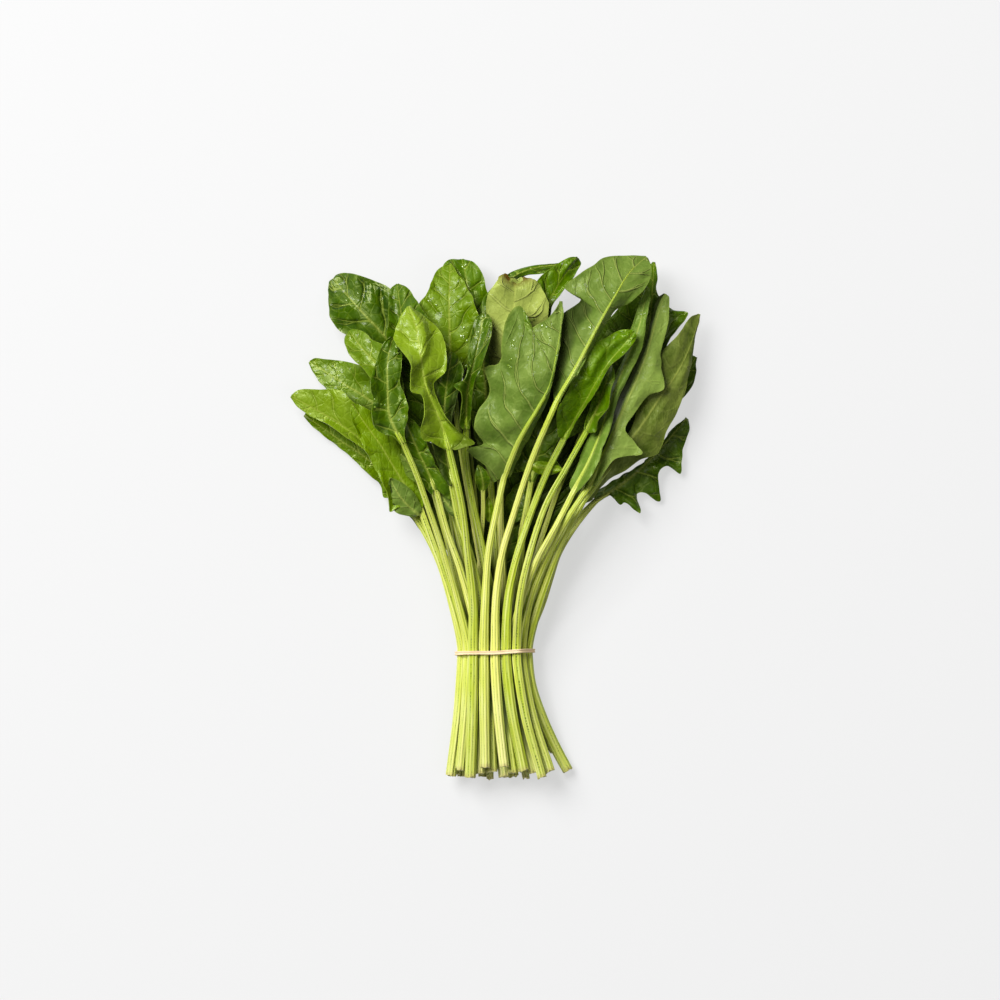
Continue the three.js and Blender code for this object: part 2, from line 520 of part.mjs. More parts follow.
// The blade's grid: rows from its start to its tip, each with seven points from left to right.
function bladeGrid(leaf, neck, seed) {
  const rib = curveThrough(leaf.rib);
  const shares = ribShares(leaf);
  const columns = [-1, -0.55, null, 0, null, 0.55, 1]; // null: the side of the midrib
  const rows = [];
  const addRow = (share, middle, left, right) => {
    const [start, centre, tip] = leaf.heights;
    const bend = (4 * centre - start - tip) * share * (1 - share);
    const axis = start * (1 - share) ** 2 + tip * share ** 2 + bend;
    const swell = Math.sin(Math.PI * Math.min(0.1 + share, 1));
    rows.push(
      columns.map((column, c) => {
        const side = c < 3 ? left : right;
        const reach = Math.hypot(side.x - middle.x, side.y - middle.y);
        const edge = Math.min(bladeSize.midribWidth / 2 / Math.max(reach, 0.01), 0.3);
        const out = Math.abs(column ?? edge);
        const wave = Math.sin(seed + c * 1.9 + rows.length * 2.3) * leaf.wave * out ** 2;
        const isRib = c === 3;
        const rise = isRib ? THREE.MathUtils.lerp(bladeSize.midribRise, 0.3, share) : 0;
        return {
          x: THREE.MathUtils.lerp(middle.x, side.x, out),
          y: THREE.MathUtils.lerp(middle.y, side.y, out),
          target: axis + (leaf.cup * out ** 1.4 + wave) * swell,
          halfUp: bladeSize.thickness / 2 + (leaf.underside ? rise : 0),
          halfDown: bladeSize.thickness / 2 + (leaf.underside ? 0 : rise),
        };
      }),
    );
  };
  // The first row is as wide and deep as the stalk's end, which it faces.
  const across = { x: neck.direction.y, y: -neck.direction.x };
  const start = {
    x: neck.x + neck.direction.x * bladeSize.neckGap,
    y: neck.y + neck.direction.y * bladeSize.neckGap,
  };
  rows.push(
    [-1, -0.7, -0.35, 0, 0.35, 0.7, 1].map((side) => {
      const depth = Math.max(0.5 * neck.height * Math.sqrt(1 - side * side), 0.45);
      return {
        x: start.x + (across.x * side * neck.width) / 2,
        y: start.y + (across.y * side * neck.width) / 2,
        target: leaf.heights[0],
        halfUp: depth,
        halfDown: depth,
      };
    }),
  );
  shares.forEach((share, k) => {
    const [left, right] = [leaf.left[k], leaf.right[k]].map(([x, y]) => ({ x, y }));
    addRow(share, rib.getPointAt(share), left, right);
  });
  const tip = rib.getPointAt(1);
  const last = rib.getTangentAt(1);
  const half = bladeSize.tipWidth / 2;
  addRow(
    1,
    tip,
    { x: tip.x - last.y * half, y: tip.y + last.x * half },
    { x: tip.x + last.y * half, y: tip.y - last.x * half },
  );
  return rows;
}

// Two triangles for each cell of the grid, cut along the diagonal that keeps both facing up.
function gridTriangles(rows) {
  const turn = (a, b, c) => (b.x - a.x) * (c.y - a.y) - (b.y - a.y) * (c.x - a.x);
  const triangles = [];
  for (let k = 0; k + 1 < rows.length; k++) {
    for (let c = 0; c + 1 < rows[k].length; c++) {
      const [a, b] = [rows[k][c], rows[k][c + 1]];
      const [d, e] = [rows[k + 1][c], rows[k + 1][c + 1]];
      const first = Math.min(turn(a, b, e), turn(a, e, d));
      const second = Math.min(turn(a, b, d), turn(b, e, d));
      triangles.push(...(first >= second ? [[a, b, e], [a, e, d]] : [[a, b, d], [b, e, d]]));
    }
  }
  return triangles;
}

// ---- Laying the leaves on each other ----

// The height a stalk needs to lie on another one that it passes over, if they meet in plan.
function stalkNeed(point, other) {
  let need = 0;
  for (let i = 0; i + 1 < other.length; i++) {
    const [a, b] = [other[i], other[i + 1]];
    const [dx, dy] = [b.x - a.x, b.y - a.y];
    const along = ((point.x - a.x) * dx + (point.y - a.y) * dy) / (dx * dx + dy * dy);
    const t = THREE.MathUtils.clamp(along, 0, 1);
    const apart = Math.hypot(point.x - a.x - t * dx, point.y - a.y - t * dy);
    const reach = (point.width + THREE.MathUtils.lerp(a.width, b.width, t)) / 2 + bundle.gap;
    if (apart >= reach) continue;
    const depth = (point.height + THREE.MathUtils.lerp(a.height, b.height, t)) / 2 + bundle.gap;
    const lift = depth * Math.sqrt(1 - (apart / reach) ** 2);
    need = Math.max(need, THREE.MathUtils.lerp(a.z, b.z, t) + lift);
  }
  return need;
}

function between(a, b, t) {
  const mix = (key) => THREE.MathUtils.lerp(a[key], b[key], t);
  return { x: mix("x"), y: mix("y"), z: mix("z"), width: mix("width"), height: mix("height") };
}

// Lifts the stalk's free points where it lies on lower stalks or blades.
function liftStalk(line, lowerStalks, bladeMap) {
  for (let i = 0; i + 1 < line.length; i++) {
    const [a, b] = [line[i], line[i + 1]];
    if (a.fixed && b.fixed) continue;
    const tests = a.fixed ? [0.6, 0.8, 1] : b.fixed ? [0, 0.2, 0.4] : [0, 0.25, 0.5, 0.75, 1];
    for (const t of tests) {
      const point = between(a, b, t);
      let need = point.height / 2;
      for (const other of lowerStalks) need = Math.max(need, stalkNeed(point, other));
      for (const [sideX, sideY] of [[0, 0], [1, 0], [-1, 0], [0, 1], [0, -1]]) {
        const column = Math.floor((point.x + (sideX * point.width) / 2 - mapOrigin.x) / cell);
        const row = Math.floor((point.y + (sideY * point.width) / 2 - mapOrigin.y) / cell);
        const under = bladeMap[row * mapSize.columns + column];
        if (under) need = Math.max(need, under + bladeSize.clearance / 2 + point.height / 2);
      }
      const lack = need - point.z;
      if (lack <= 0) continue;
      const [shareA, shareB] = [a.fixed ? 0 : 1 - t, b.fixed ? 0 : t];
      const size = shareA ** 2 + shareB ** 2;
      a.need = Math.max(a.need, a.z + (lack * shareA) / size);
      b.need = Math.max(b.need, b.z + (lack * shareB) / size);
    }
  }
}

// Lifts the blade's points where the blade's underside meets what is below it.
function liftBlade(triangles, map) {
  for (const triangle of triangles) {
    const rise = Math.min(steepness(triangle, (p) => p.z), 2) * 0.5 * cell;
    visitCells(triangle, (index, w) => {
      const bottom = triangle.reduce((sum, p, i) => sum + w[i] * (p.z - p.down), 0) - rise;
      const floor = map[index] ? map[index] + bladeSize.clearance : rise;
      const lack = floor - bottom;
      if (lack <= 0) return;
      const size = w[0] ** 2 + w[1] ** 2 + w[2] ** 2;
      triangle.forEach((p, i) => {
        p.need = Math.max(p.need, p.z + (lack * w[i]) / size);
      });
    });
  }
}

// Makes the blade thicker upright where it is steep, so that it stays as thick across.
function setDepths(points, triangles) {
  for (const point of points) point.slope = 0;
  for (const triangle of triangles) {
    const slope = Math.min(steepness(triangle, (p) => p.z), 2.2);
    for (const point of triangle) point.slope = Math.max(point.slope, slope);
  }
  for (const point of points) {
    const factor = Math.sqrt(1 + point.slope ** 2);
    point.up = point.halfUp * factor;
    point.down = point.halfDown * factor;
  }
}

// Finds the heights of one leaf: as near its own shape as it can be, smooth, and clear of all that
// is under it.
function settle(line, rows, lowerStalks, bladeMap, allMap) {
  const points = [...line, ...rows.flat()];
  const joined = new Map(points.map((point) => [point, []]));
  const join = (a, b, weight) => {
    joined.get(a).push([b, weight]);
    joined.get(b).push([a, weight]);
  };
  for (let i = 0; i + 1 < line.length; i++) join(line[i], line[i + 1], 1);
  rows[0].forEach((point) => join(point, line[line.length - 1], 6));
  rows.forEach((row, k) => {
    row.forEach((point, c) => {
      if (c) join(point, row[c - 1], 1);
      if (k) join(point, rows[k - 1][c], c === 3 ? 3 : 1);
    });
  });
  const triangles = gridTriangles(rows);
  for (const point of points) Object.assign(point, { z: point.target, need: 0 });
  for (let round = 0; round < 60; round++) {
    setDepths(rows.flat(), triangles);
    liftStalk(line, lowerStalks, bladeMap);
    liftBlade(triangles, allMap);
    for (let sweep = 0; sweep < 25; sweep++) {
      for (const point of points) {
        if (point.fixed) continue;
        const near = joined.get(point);
        const total = near.reduce((sum, [, weight]) => sum + weight, 0);
        const lift = near.reduce((sum, [p, weight]) => sum + weight * (p.z - p.target), 0) / total;
        point.z = Math.max(point.need, point.target + 0.985 * lift);
      }
    }
  }
  setDepths(rows.flat(), triangles);
  return triangles;
}

// ---- Solids ----

function meshOf(name, color, roughness, vertices, faces) {
  const geometry = new THREE.BufferGeometry();
  geometry.setAttribute("position", new THREE.Float32BufferAttribute(vertices, 3));
  geometry.setIndex(faces);
  geometry.computeVertexNormals();
  const mesh = new THREE.Mesh(geometry, new THREE.MeshStandardMaterial({ color, roughness }));
  mesh.name = name;
  return mesh;
}

// A stalk: a ridged tube along its line, with a flat cut at each end.
function stalkMesh(name, line) {
  const { sides, ridge } = stalkSize;
  const vertices = [];
  const faces = [];
  line.forEach((point, i) => {
    for (let s = 0; s < sides; s++) {
      const angle = (2 * Math.PI * s) / sides;
      const radius = s % 2 ? ridge : 1;
      const across = (radius * point.width * Math.cos(angle)) / 2;
      const up = (radius * point.height * Math.sin(angle)) / 2;
      const { x, y } = point.direction;
      vertices.push(point.x + y * across, point.y - x * across, point.z + up);
      if (i + 1 === line.length) continue;
      const [a, b] = [i * sides + s, i * sides + ((s + 1) % sides)];
      faces.push(a, a + sides, b + sides, a, b + sides, b);
    }
  });
  const last = (line.length - 1) * sides;
  for (let s = 1; s + 1 < sides; s++) {
    faces.push(0, s, s + 1);
    faces.push(last, last + s + 1, last + s);
  }
  return meshOf(name, colors.stalk, 0.55, vertices, faces);
}

// A blade: the grid's triangles above and below, alike, closed round the edge.
function bladeMesh(name, color, rows, triangles) {
  const points = rows.flat();
  const indexOf = new Map(points.map((point, i) => [point, i]));
  const vertices = points.flatMap((p) => [p.x, p.y, p.z + p.up]);
  vertices.push(...points.flatMap((p) => [p.x, p.y, p.z - p.down]));
  const under = points.length;
  const faces = [];
  for (const triangle of triangles) {
    const [a, b, c] = triangle.map((point) => indexOf.get(point));
    faces.push(a, b, c, under + a, under + c, under + b);
  }
  const width = rows[0].length;
  const edge = [...rows[0]];
  for (let k = 1; k < rows.length; k++) edge.push(rows[k][width - 1]);
  edge.push(...rows[rows.length - 1].slice(0, -1).reverse());
  for (let k = rows.length - 2; k > 0; k--) edge.push(rows[k][0]);
  edge.forEach((point, i) => {
    const a = indexOf.get(point);
    const b = indexOf.get(edge[(i + 1) % edge.length]);
    faces.push(a, under + a, under + b, a, under + b, b);
  });
  return meshOf(name, color, 0.45, vertices, faces);
}

// The band: a flat loop drawn tight round the bundle. Its outline touches the stalks from each
// direction in turn, and its lowest side is flat on the surface.
function bandMesh(name) {
  const slots = bundle.rows.flatMap((count, row) =>
    Array.from({ length: count }, (_, place) => slotPlace([row, place])),
  );
  const outline = (offset) => {
    const sideLines = Array.from({ length: bandSize.sides }, (_, i) => {
      const angle = (2 * Math.PI * (i + 0.5)) / bandSize.sides - Math.PI / 2 - Math.PI / bandSize.sides;
      const [nx, nz] = [Math.cos(angle), Math.sin(angle)];
      const reach = Math.hypot((stalkSize.width / 2) * nx, (stalkSize.height / 2) * nz);
      const far = Math.max(...slots.map((slot) => slot.x * nx + slot.z * nz));
      return { nx, nz, far: far + reach + offset };
    });
    return sideLines.map((a, i) => {
      const b = sideLines[(i + 1) % sideLines.length];
      const turn = a.nx * b.nz - a.nz * b.nx;
      return new THREE.Vector2((a.far * b.nz - b.far * a.nz) / turn, (b.far * a.nx - a.far * b.nx) / turn);
    });
  };
  const shape = new THREE.Shape(outline(bandSize.slack + bandSize.thickness));
  shape.holes.push(new THREE.Path(outline(bandSize.slack)));
  const geometry = new THREE.ExtrudeGeometry(shape, { depth: bandSize.width, bevelEnabled: false });
  geometry.translate(0, 0, -bandSize.width / 2);
  geometry.rotateX(Math.PI / 2);
  const material = new THREE.MeshStandardMaterial({ color: colors.band, roughness: 0.7 });
  const mesh = new THREE.Mesh(geometry, material);
  mesh.name = name;
  return mesh;
}

// ---- The bunch ----

// A seeded draw from -1 to 1.
function makeRandom(seed) {
  let state = seed;
  return () => {
    state = (state * 16807) % 2147483647;
    return (2 * state) / 2147483647 - 1;
  };
}

const bunch = new THREE.Group();
const random = makeRandom(4271);
const bladeMap = makeMap();
const allMap = makeMap();
const lowerStalks = [];

leaves.forEach((leaf, i) => {
  const number = String(i + 1).padStart(2, "0");
  const line = stalkLine(leaf, random);
  const rows = bladeGrid(leaf, line[line.length - 1], i);
  const triangles = settle(line, rows, lowerStalks, bladeMap, allMap);
  layOnMap(bladeMap, triangles);
  layOnMap(allMap, triangles);
  for (let k = 0; k + 1 < line.length; k++) {
    const ends = [line[k], line[k + 1]].map((point) => {
      const [ax, ay] = [(point.direction.y * point.width) / 2, (-point.direction.x * point.width) / 2];
      const top = { z: point.z, up: point.height / 2 };
      return [{ x: point.x - ax, y: point.y - ay, ...top }, { x: point.x + ax, y: point.y + ay, ...top }];
    });
    layOnMap(allMap, [[ends[0][0], ends[0][1], ends[1][1]], [ends[0][0], ends[1][1], ends[1][0]]]);
  }
  lowerStalks.push(line);
  bunch.add(stalkMesh(`stalk_${number}`, line));
  bunch.add(bladeMesh(`blade_${number}`, colors[leaf.tone], rows, triangles));
});
bunch.add(bandMesh("rubber_band"));

export default bunch;
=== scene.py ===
import math

import bpy
import numpy as np
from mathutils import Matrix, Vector
from mathutils.bvhtree import BVHTree


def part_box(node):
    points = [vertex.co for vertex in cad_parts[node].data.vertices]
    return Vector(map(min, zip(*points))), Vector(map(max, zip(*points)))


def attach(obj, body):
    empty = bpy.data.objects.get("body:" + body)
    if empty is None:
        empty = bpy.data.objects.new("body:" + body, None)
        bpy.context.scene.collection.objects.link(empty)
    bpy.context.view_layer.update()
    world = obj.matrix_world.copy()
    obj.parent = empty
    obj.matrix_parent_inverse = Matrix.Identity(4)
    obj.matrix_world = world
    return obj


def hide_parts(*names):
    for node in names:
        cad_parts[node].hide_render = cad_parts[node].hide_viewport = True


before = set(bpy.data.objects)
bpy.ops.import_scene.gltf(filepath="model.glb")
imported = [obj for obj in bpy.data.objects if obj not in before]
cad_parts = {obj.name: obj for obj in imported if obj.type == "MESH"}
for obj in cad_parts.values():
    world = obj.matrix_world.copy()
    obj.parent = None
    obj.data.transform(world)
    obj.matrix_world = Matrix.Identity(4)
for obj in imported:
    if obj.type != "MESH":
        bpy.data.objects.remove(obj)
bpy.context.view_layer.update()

# A bunch of spinach lying on its side. Its leaves take their heights from the solids in the frame.
# Shapes are worked out in millimetres, from the middle of the band, with the leaf tips towards +Y.
mm = 0.001


def runAlong(points):
    # The length along a line of points, up to each of them.
    return np.concatenate([[0], np.cumsum(np.linalg.norm(np.diff(points, axis=0), axis=1))])


def blend(t, low, high, a, b):
    # From a to b, as t goes from low to high.
    return (high - t) / (high - low) * a + (t - low) / (high - low) * b


class PlanCurve:  # a smooth curve through plan points, read by its share of the length
    def __init__(self, points):
        p = np.array(points, float)
        p = np.vstack([2 * p[0] - p[1], p, 2 * p[-1] - p[-2]])
        knots = np.concatenate([[0], np.cumsum(np.linalg.norm(np.diff(p, axis=0), axis=1) ** 0.5)])
        stepsBetween = 40
        out = []
        for i in range(1, len(p) - 2):
            t0, t1, t2, t3 = knots[i - 1 : i + 3]
            t = np.linspace(t1, t2, stepsBetween, endpoint=False)[:, None]
            a1 = blend(t, t0, t1, p[i - 1], p[i])
            a2 = blend(t, t1, t2, p[i], p[i + 1])
            a3 = blend(t, t2, t3, p[i + 1], p[i + 2])
            b1 = blend(t, t0, t2, a1, a2)
            b2 = blend(t, t1, t3, a2, a3)
            out.append(blend(t, t1, t2, b1, b2))
        out.append(p[-2][None])
        self.points = np.vstack(out)
        self.lengths = runAlong(self.points)
        self.length = self.lengths[-1]

    def at(self, share):
        s = np.asarray(share) * self.length
        return np.stack([np.interp(s, self.lengths, self.points[:, k]) for k in (0, 1)], -1)

    def across(self, share):  # unit vectors to the right of the curve
        ahead = self.at(np.clip(np.asarray(share) + 0.01, 0, 1))
        step = ahead - self.at(np.clip(np.asarray(share) - 0.01, 0, 1))
        step /= np.linalg.norm(step, axis=-1, keepdims=True)
        return np.stack([step[..., 1], -step[..., 0]], -1)

    def runTo(self, y):  # the length at which a curve that climbs in y reaches a given y
        return np.interp(y, self.points[:, 1], self.lengths)

    def shareOf(self, point):  # where the curve comes nearest to a point, to a sixtieth of its length
        even = self.at(np.linspace(0, 1, 61))
        return np.argmin(np.linalg.norm(even - np.array(point), axis=1)) / 60


def signedPower(x, power):
    return np.sign(x) * np.abs(x) ** power


def smoothStep(x, low, high):
    t = np.clip((np.asarray(x, float) - low) / (high - low), 0, 1)
    return t * t * (3 - 2 * t)


def smoothAlong(values, radius):
    # Evens out a row of values. Past its ends it goes on in the same direction.
    kernel = np.hanning(2 * radius + 3)[1:-1]
    padded = np.pad(values, radius, mode="reflect", reflect_type="odd")
    return np.convolve(padded, kernel / kernel.sum(), "valid")


def throughRows(values, count):
    # Values given at each row, read at count even places through them on a smooth curve.
    values = np.asarray(values, float)
    padded = np.concatenate([[2 * values[0] - values[1]], values, [2 * values[-1] - values[-2]]])
    place = np.linspace(0, len(values) - 1, count)
    i = np.minimum(place.astype(int), len(values) - 2)
    t = (place - i).reshape((-1,) + (1,) * (values.ndim - 1))
    a, b, c, d = (padded[i + k] for k in range(4))
    return 0.5 * (2 * b + (c - a) * t + (2 * a - 5 * b + 4 * c - d) * t**2 + (3 * b - a - 3 * c + d) * t**3)


noiseCells = 32  # the noise repeats after this many features
noiseTable = np.random.default_rng(73).random((noiseCells, noiseCells, noiseCells))


def softNoise(points, size, seed):
    # Smooth noise from -1 to 1, with features of the given size. Each seed reads it at another place.
    p = np.asarray(points, float) / size + 7.3 * seed
    base = np.floor(p).astype(int)
    f = p - base
    f = f * f * (3 - 2 * f)
    total = 0
    for corner in np.ndindex(2, 2, 2):
        weight = 1
        for axis in range(3):
            weight = weight * (f[..., axis] if corner[axis] else 1 - f[..., axis])
        i, j, k = ((base[..., axis] + corner[axis]) % noiseCells for axis in range(3))
        total = total + weight * noiseTable[i, j, k]
    return 2 * total - 1


class Wire:  # a node's output, with arithmetic that adds Math nodes
    def __init__(self, shader, socket):
        self.shader = shader
        self.socket = socket

    def math(self, operation, *others):
        return self.shader.node("Math", {"operation": operation}, dict(enumerate([self, *others])))

    def __add__(self, other):
        return self.math("ADD", other)

    def __sub__(self, other):
        return self.math("SUBTRACT", other)

    def __rsub__(self, other):
        return self.shader.node("Math", {"operation": "SUBTRACT"}, {0: other, 1: self})

    def __mul__(self, other):
        return self.math("MULTIPLY", other)

    __radd__ = __add__
    __rmul__ = __mul__

    def clamp(self):
        return self.shader.node("Clamp", {}, {0: self})

    def range(self, low, high):  # a soft step from 0 at low to 1 at high
        values = {"Value": self, "From Min": low, "From Max": high}
        return self.shader.node("MapRange", {"interpolation_type": "SMOOTHSTEP"}, values)


class Shader:  # a material and the one way its nodes are made
    def __init__(self, name, fixed):
        self.material = bpy.data.materials.new(name)
        self.material.use_nodes = True
        self.tree = self.material.node_tree
        self.surface = self.tree.nodes["Principled BSDF"]
        for socket, value in fixed.items():
            self.plug(self.surface.inputs[socket], value)

    def plug(self, socket, value):
        if isinstance(value, Wire):
            self.tree.links.new(value.socket, socket)
        elif isinstance(value, tuple) and len(value) == 3 and socket.type == "RGBA":
            socket.default_value = (*value, 1)
        else:
            socket.default_value = value

    def node(self, kind, settings, inputs, output=0):
        made = self.tree.nodes.new("ShaderNode" + kind)
        for key, value in settings.items():
            setattr(made, key, value)
        for key, value in inputs.items():
            self.plug(made.inputs[key], value)
        return Wire(self, made.outputs[output])

    def attribute(self, name):
        return self.node("Attribute", {"attribute_name": name}, {}, "Fac")

    def place(self, kind):  # "Object" or "UV"
        return self.node("TexCoord", {}, {}, kind)

    def noise(self, place, scale, detail):
        values = {"Vector": place, "Scale": scale, "Detail": detail, "Roughness": 0.55}
        return self.node("TexNoise", {}, values, "Fac")

    def mix(self, factor, low, high):
        return self.node("Mix", {"data_type": "RGBA"}, {0: factor, 6: low, 7: high}, 2)

    def layer(self, color, layers):  # lays each colour over the last, as far as its mask goes
        for mask, code in layers:
            color = self.mix(mask, color, fromHex(code))
        return color

    def finish(self, color, roughness, height, distance, richness=1.0):
        color = self.node("HueSaturation", {}, {"Saturation": richness, "Color": color})
        bump = self.node("Bump", {}, {"Height": height, "Distance": distance})
        self.plug(self.surface.inputs["Base Color"], color)
        self.plug(self.surface.inputs["Roughness"], roughness)
        self.plug(self.surface.inputs["Normal"], bump)
        return self.material


def fromHex(code):
    # A colour as it looks on a screen, made linear for the shader.
    parts = [int(code[i : i + 2], 16) / 255 for i in (0, 2, 4)]
    return tuple(c / 12.92 if c <= 0.04045 else ((c + 0.055) / 1.055) ** 2.4 for c in parts)


# A leaf's colours from dark to light, and how deep its furrows are between the puckers and how dark the
# painted shade in them is.
bladeLook = {
    "dark": {"face": ("254004", "55780a"), "back": ("4f6a1c", "768c38"), "furrow": 0.4},
    "mid": {"face": ("3a5806", "6d8a16"), "back": ("46621a", "74903a"), "furrow": 0.26},
    "light": {"face": ("506c10", "8aa234"), "back": ("6f8c38", "91a950"), "furrow": 0.16},
    "olive": {"face": ("3c560a", "6b8824"), "back": ("3a4e0e", "9ca852"), "furrow": 0.3},
    "grey": {"face": ("365208", "63822a"), "back": ("3f5a18", "7b9142"), "furrow": 0.3},
    "midrib": "bcc262",
    "rim": "93a548",
    "scorch": "56390f",
    "deep": "0b1702",  # painted shade, where the other leaves hide the sky
}
sideLook = {
    "face": {"vein": "a4b350", "net": 0.07, "shine": 0.42, "water": 0.5, "rough": 0.41, "rich": 1.06},
    "back": {"vein": "b4bd68", "net": 0.04, "shine": 0.26, "water": 0.2, "rough": 0.46, "rich": 1.03},
}
bladeGrain = {"broad": 38.0, "wet": 60.0, "pucker": 150.0, "net": 210.0, "fine": 420.0}  # per metre


def bladeMaterial(tone, side):
    look = sideLook[side]
    fixed = {"Specular IOR Level": look["shine"], "Specular Tint": (0.9, 1.0, 0.4)}
    fixed |= {"Coat Roughness": 0.16, "Coat IOR": 1.4}
    shader = Shader(f"{tone}Leaf{side.capitalize()}", fixed)
    place = shader.place("Object")
    broad = shader.noise(place, bladeGrain["broad"], 3.0)
    pucker = shader.noise(place, bladeGrain["pucker"], 2.0)
    fine = shader.noise(place, bladeGrain["fine"], 3.0)
    names = ("tint", "reach", "edge", "phase", "veined", "rib", "torn", "open")
    tint, reach, edge, phase, veined, rib, torn, openSky = (shader.attribute(name) for name in names)
    # Side veins run where the phase is whole, and fork further out.
    fork = edge.range(0.35, 1.0) * broad.range(0.4, 0.6) * 0.3
    apart = (phase.math("PINGPONG", 0.5) - fork).math("ABSOLUTE")
    width = (reach * -0.05).math("EXPONENT") * 0.035 + 0.01
    fading = 1 - edge.range(0.7, 0.97) * 0.8
    vein = (1 - apart.range(width * 0.5, width * 1.6)) * fading * veined
    furrow = (1 - apart.range(0.0, 0.2)) * reach.range(1.0, 6.0) * fading
    voronoi = {"Vector": shader.place("UV"), "Scale": bladeGrain["net"]}
    cells = shader.node("TexVoronoi", {"feature": "DISTANCE_TO_EDGE"}, voronoi, "Distance")
    net = 1 - cells.range(0.0, 0.14)
    shade = broad * 0.8 + fine * 0.35 + tint * 0.5 - 0.1
    if side == "face":
        furrowDepthAndShade = bladeLook[tone]["furrow"]
        # Painted light and shade: the puckers are painted lighter and the furrows darker.
        shade = shade + pucker * 0.3 - furrow * furrowDepthAndShade - 0.06
        height = fine * 0.18 + pucker * 0.8 - furrow * (furrowDepthAndShade * 1.4) - vein * 0.3 - net * 0.12
    else:
        ridge = (1 - apart.range(0.0, 0.09)) * fading * veined
        shade = shade + pucker * 0.45 + broad * 0.4 - 0.4
        height = fine * 0.25 + pucker * 0.7 + ridge * 0.6 + net * 0.08
    # Painted shade, darker where other solids hide more of the sky.
    deep = 1 - openSky.range(0.04, 0.58)
    layers = (
        (net * look["net"], look["vein"]),
        (vein * 0.3, look["vein"]),
        (rib * 0.35, bladeLook["midrib"]),
        (edge.range(0.965, 1.0) * 0.3, bladeLook["rim"]),
        (torn * pucker.range(0.49, 0.55), bladeLook["scorch"]),
        (deep * 0.84, bladeLook["deep"]),
    )
    color = shader.layer(shader.mix(shade.clamp(), *map(fromHex, bladeLook[tone][side])), layers)
    wet = shader.noise(place, bladeGrain["wet"], 2.0).range(0.5, 0.6) - deep
    roughness = look["rough"] - wet * 0.2 + fine * 0.12
    film = fine.range(0.52, 0.62) * look["water"] - deep  # a patchy film of water
    shader.plug(shader.surface.inputs["Coat Weight"], film.clamp())
    return shader.finish(color, roughness, height, 0.001, look["rich"])


stalkLook = {
    "foot": ("b8c440", "f4eea0"),
    "middle": ("b6c630", "f8f28c"),
    "neck": ("86a614", "c6d444"),
    "fibre": "fdf8cc",
    "groove": "86a616",
    "pit": "4c6010",
    # painted shade on the lower side, away from the key lamp
    "paintedShadeSide": "83a21a",
    "cut": "b3a468",
    "midrib": "8ea63a",
    # painted shade, where the leaves and other stalks hide the sky
    "deep": "1c3603",
    # features per metre round the stalk and along it, and detail
    "streak": (420.0, 14.0, 3.0),
    "strand": (1700.0, 40.0, 2.0),
    "bleach": (260.0, 24.0, 2.0),
    "scatter": (500.0, 160.0, 2.0),
    "pits": 620.0,  # per metre
}


def stalkMaterial():
    shader = Shader("paleStalk", {"Specular IOR Level": 0.35})
    names = ("along", "groove", "tint", "paintedShadeSide", "leafy", "open")  # along is in metres from the cut end
    along, groove, tint, paintedShadeSide, leafy, openSky = (shader.attribute(name) for name in names)
    uv = shader.place("UV")

    def grain(name):
        around, lengthways, detail = stalkLook[name]
        stretched = shader.node("Mapping", {}, {"Vector": uv, "Scale": (around, lengthways, 1.0)})
        return shader.noise(stretched, 1.0, detail)

    streak, strand, bleach, scatter = (grain(name) for name in ("streak", "strand", "bleach", "scatter"))
    shade = (streak * 1.1 + tint * 0.35 - 0.12).clamp()
    keys = ("foot", "middle", "neck")
    foot, middle, neck = (shader.mix(shade, *map(fromHex, stalkLook[key])) for key in keys)
    lower = shader.mix(along.range(0.0, 0.06), foot, middle)
    upper = shader.mix(along.range(0.12, 0.23), lower, neck)
    # The broad pale blotches thin out towards the neck, a painted shade on the upper stalks.
    pale = strand.range(0.45, 0.8) * 0.4 + bleach.range(0.48, 0.68) * (0.22 - along.range(0.12, 0.2) * 0.16)
    # Rows of small pits along the grooves.
    step = (along * stalkLook["pits"] + scatter * 2.5).math("PINGPONG", 0.5)
    pit = (1 - step.range(0.1, 0.24)) * groove.range(0.55, 0.9) * scatter.range(0.42, 0.55)
    worn = (1 - along.range(0.0, 0.003)) * (streak * 0.9 + 0.1)
    # Painted shade, darker where other solids hide more of the sky.
    deep = 1 - openSky.range(0.05, 0.52)
    layers = (
        (pale, stalkLook["fibre"]),
        # Painted shade on the lower side of the stalk, away from the key lamp.
        (paintedShadeSide * 0.7, stalkLook["paintedShadeSide"]),
        (groove * 0.5, stalkLook["groove"]),
        (pit * 0.85, stalkLook["pit"]),
        (worn.clamp(), stalkLook["cut"]),
        (leafy, stalkLook["midrib"]),
        (deep * 0.88, stalkLook["deep"]),
    )
    color = shader.layer(upper, layers)
    height = strand * 0.5 + streak * 0.6 - pit * 0.8
    return shader.finish(color, strand * 0.2 + 0.3, height, 0.0004, 1.03)


bandLook = {
    "rubber": ("e2c394", "f2dcb4"),
    "broad": 90.0,  # features per metre
    "grain": 1500.0,
}


def bandMaterial():
    shader = Shader("tanRubber", {"Specular IOR Level": 0.3})
    place = shader.place("Object")
    broad = shader.noise(place, bandLook["broad"], 3.0)
    grain = shader.noise(place, bandLook["grain"], 2.0)
    color = shader.mix(broad.range(0.3, 0.7), *map(fromHex, bandLook["rubber"]))
    return shader.finish(color, grain * 0.3 + 0.5, grain, 0.00008)


nodeShapes = {}  # the corners and faces of each solid
for name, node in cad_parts.items():
    corners = [vertex.co.copy() for vertex in node.data.vertices]
    nodeShapes[name] = corners, [tuple(face.vertices) for face in node.data.polygons]


def nodeTree(name):
    return BVHTree.FromPolygons(*nodeShapes[name])


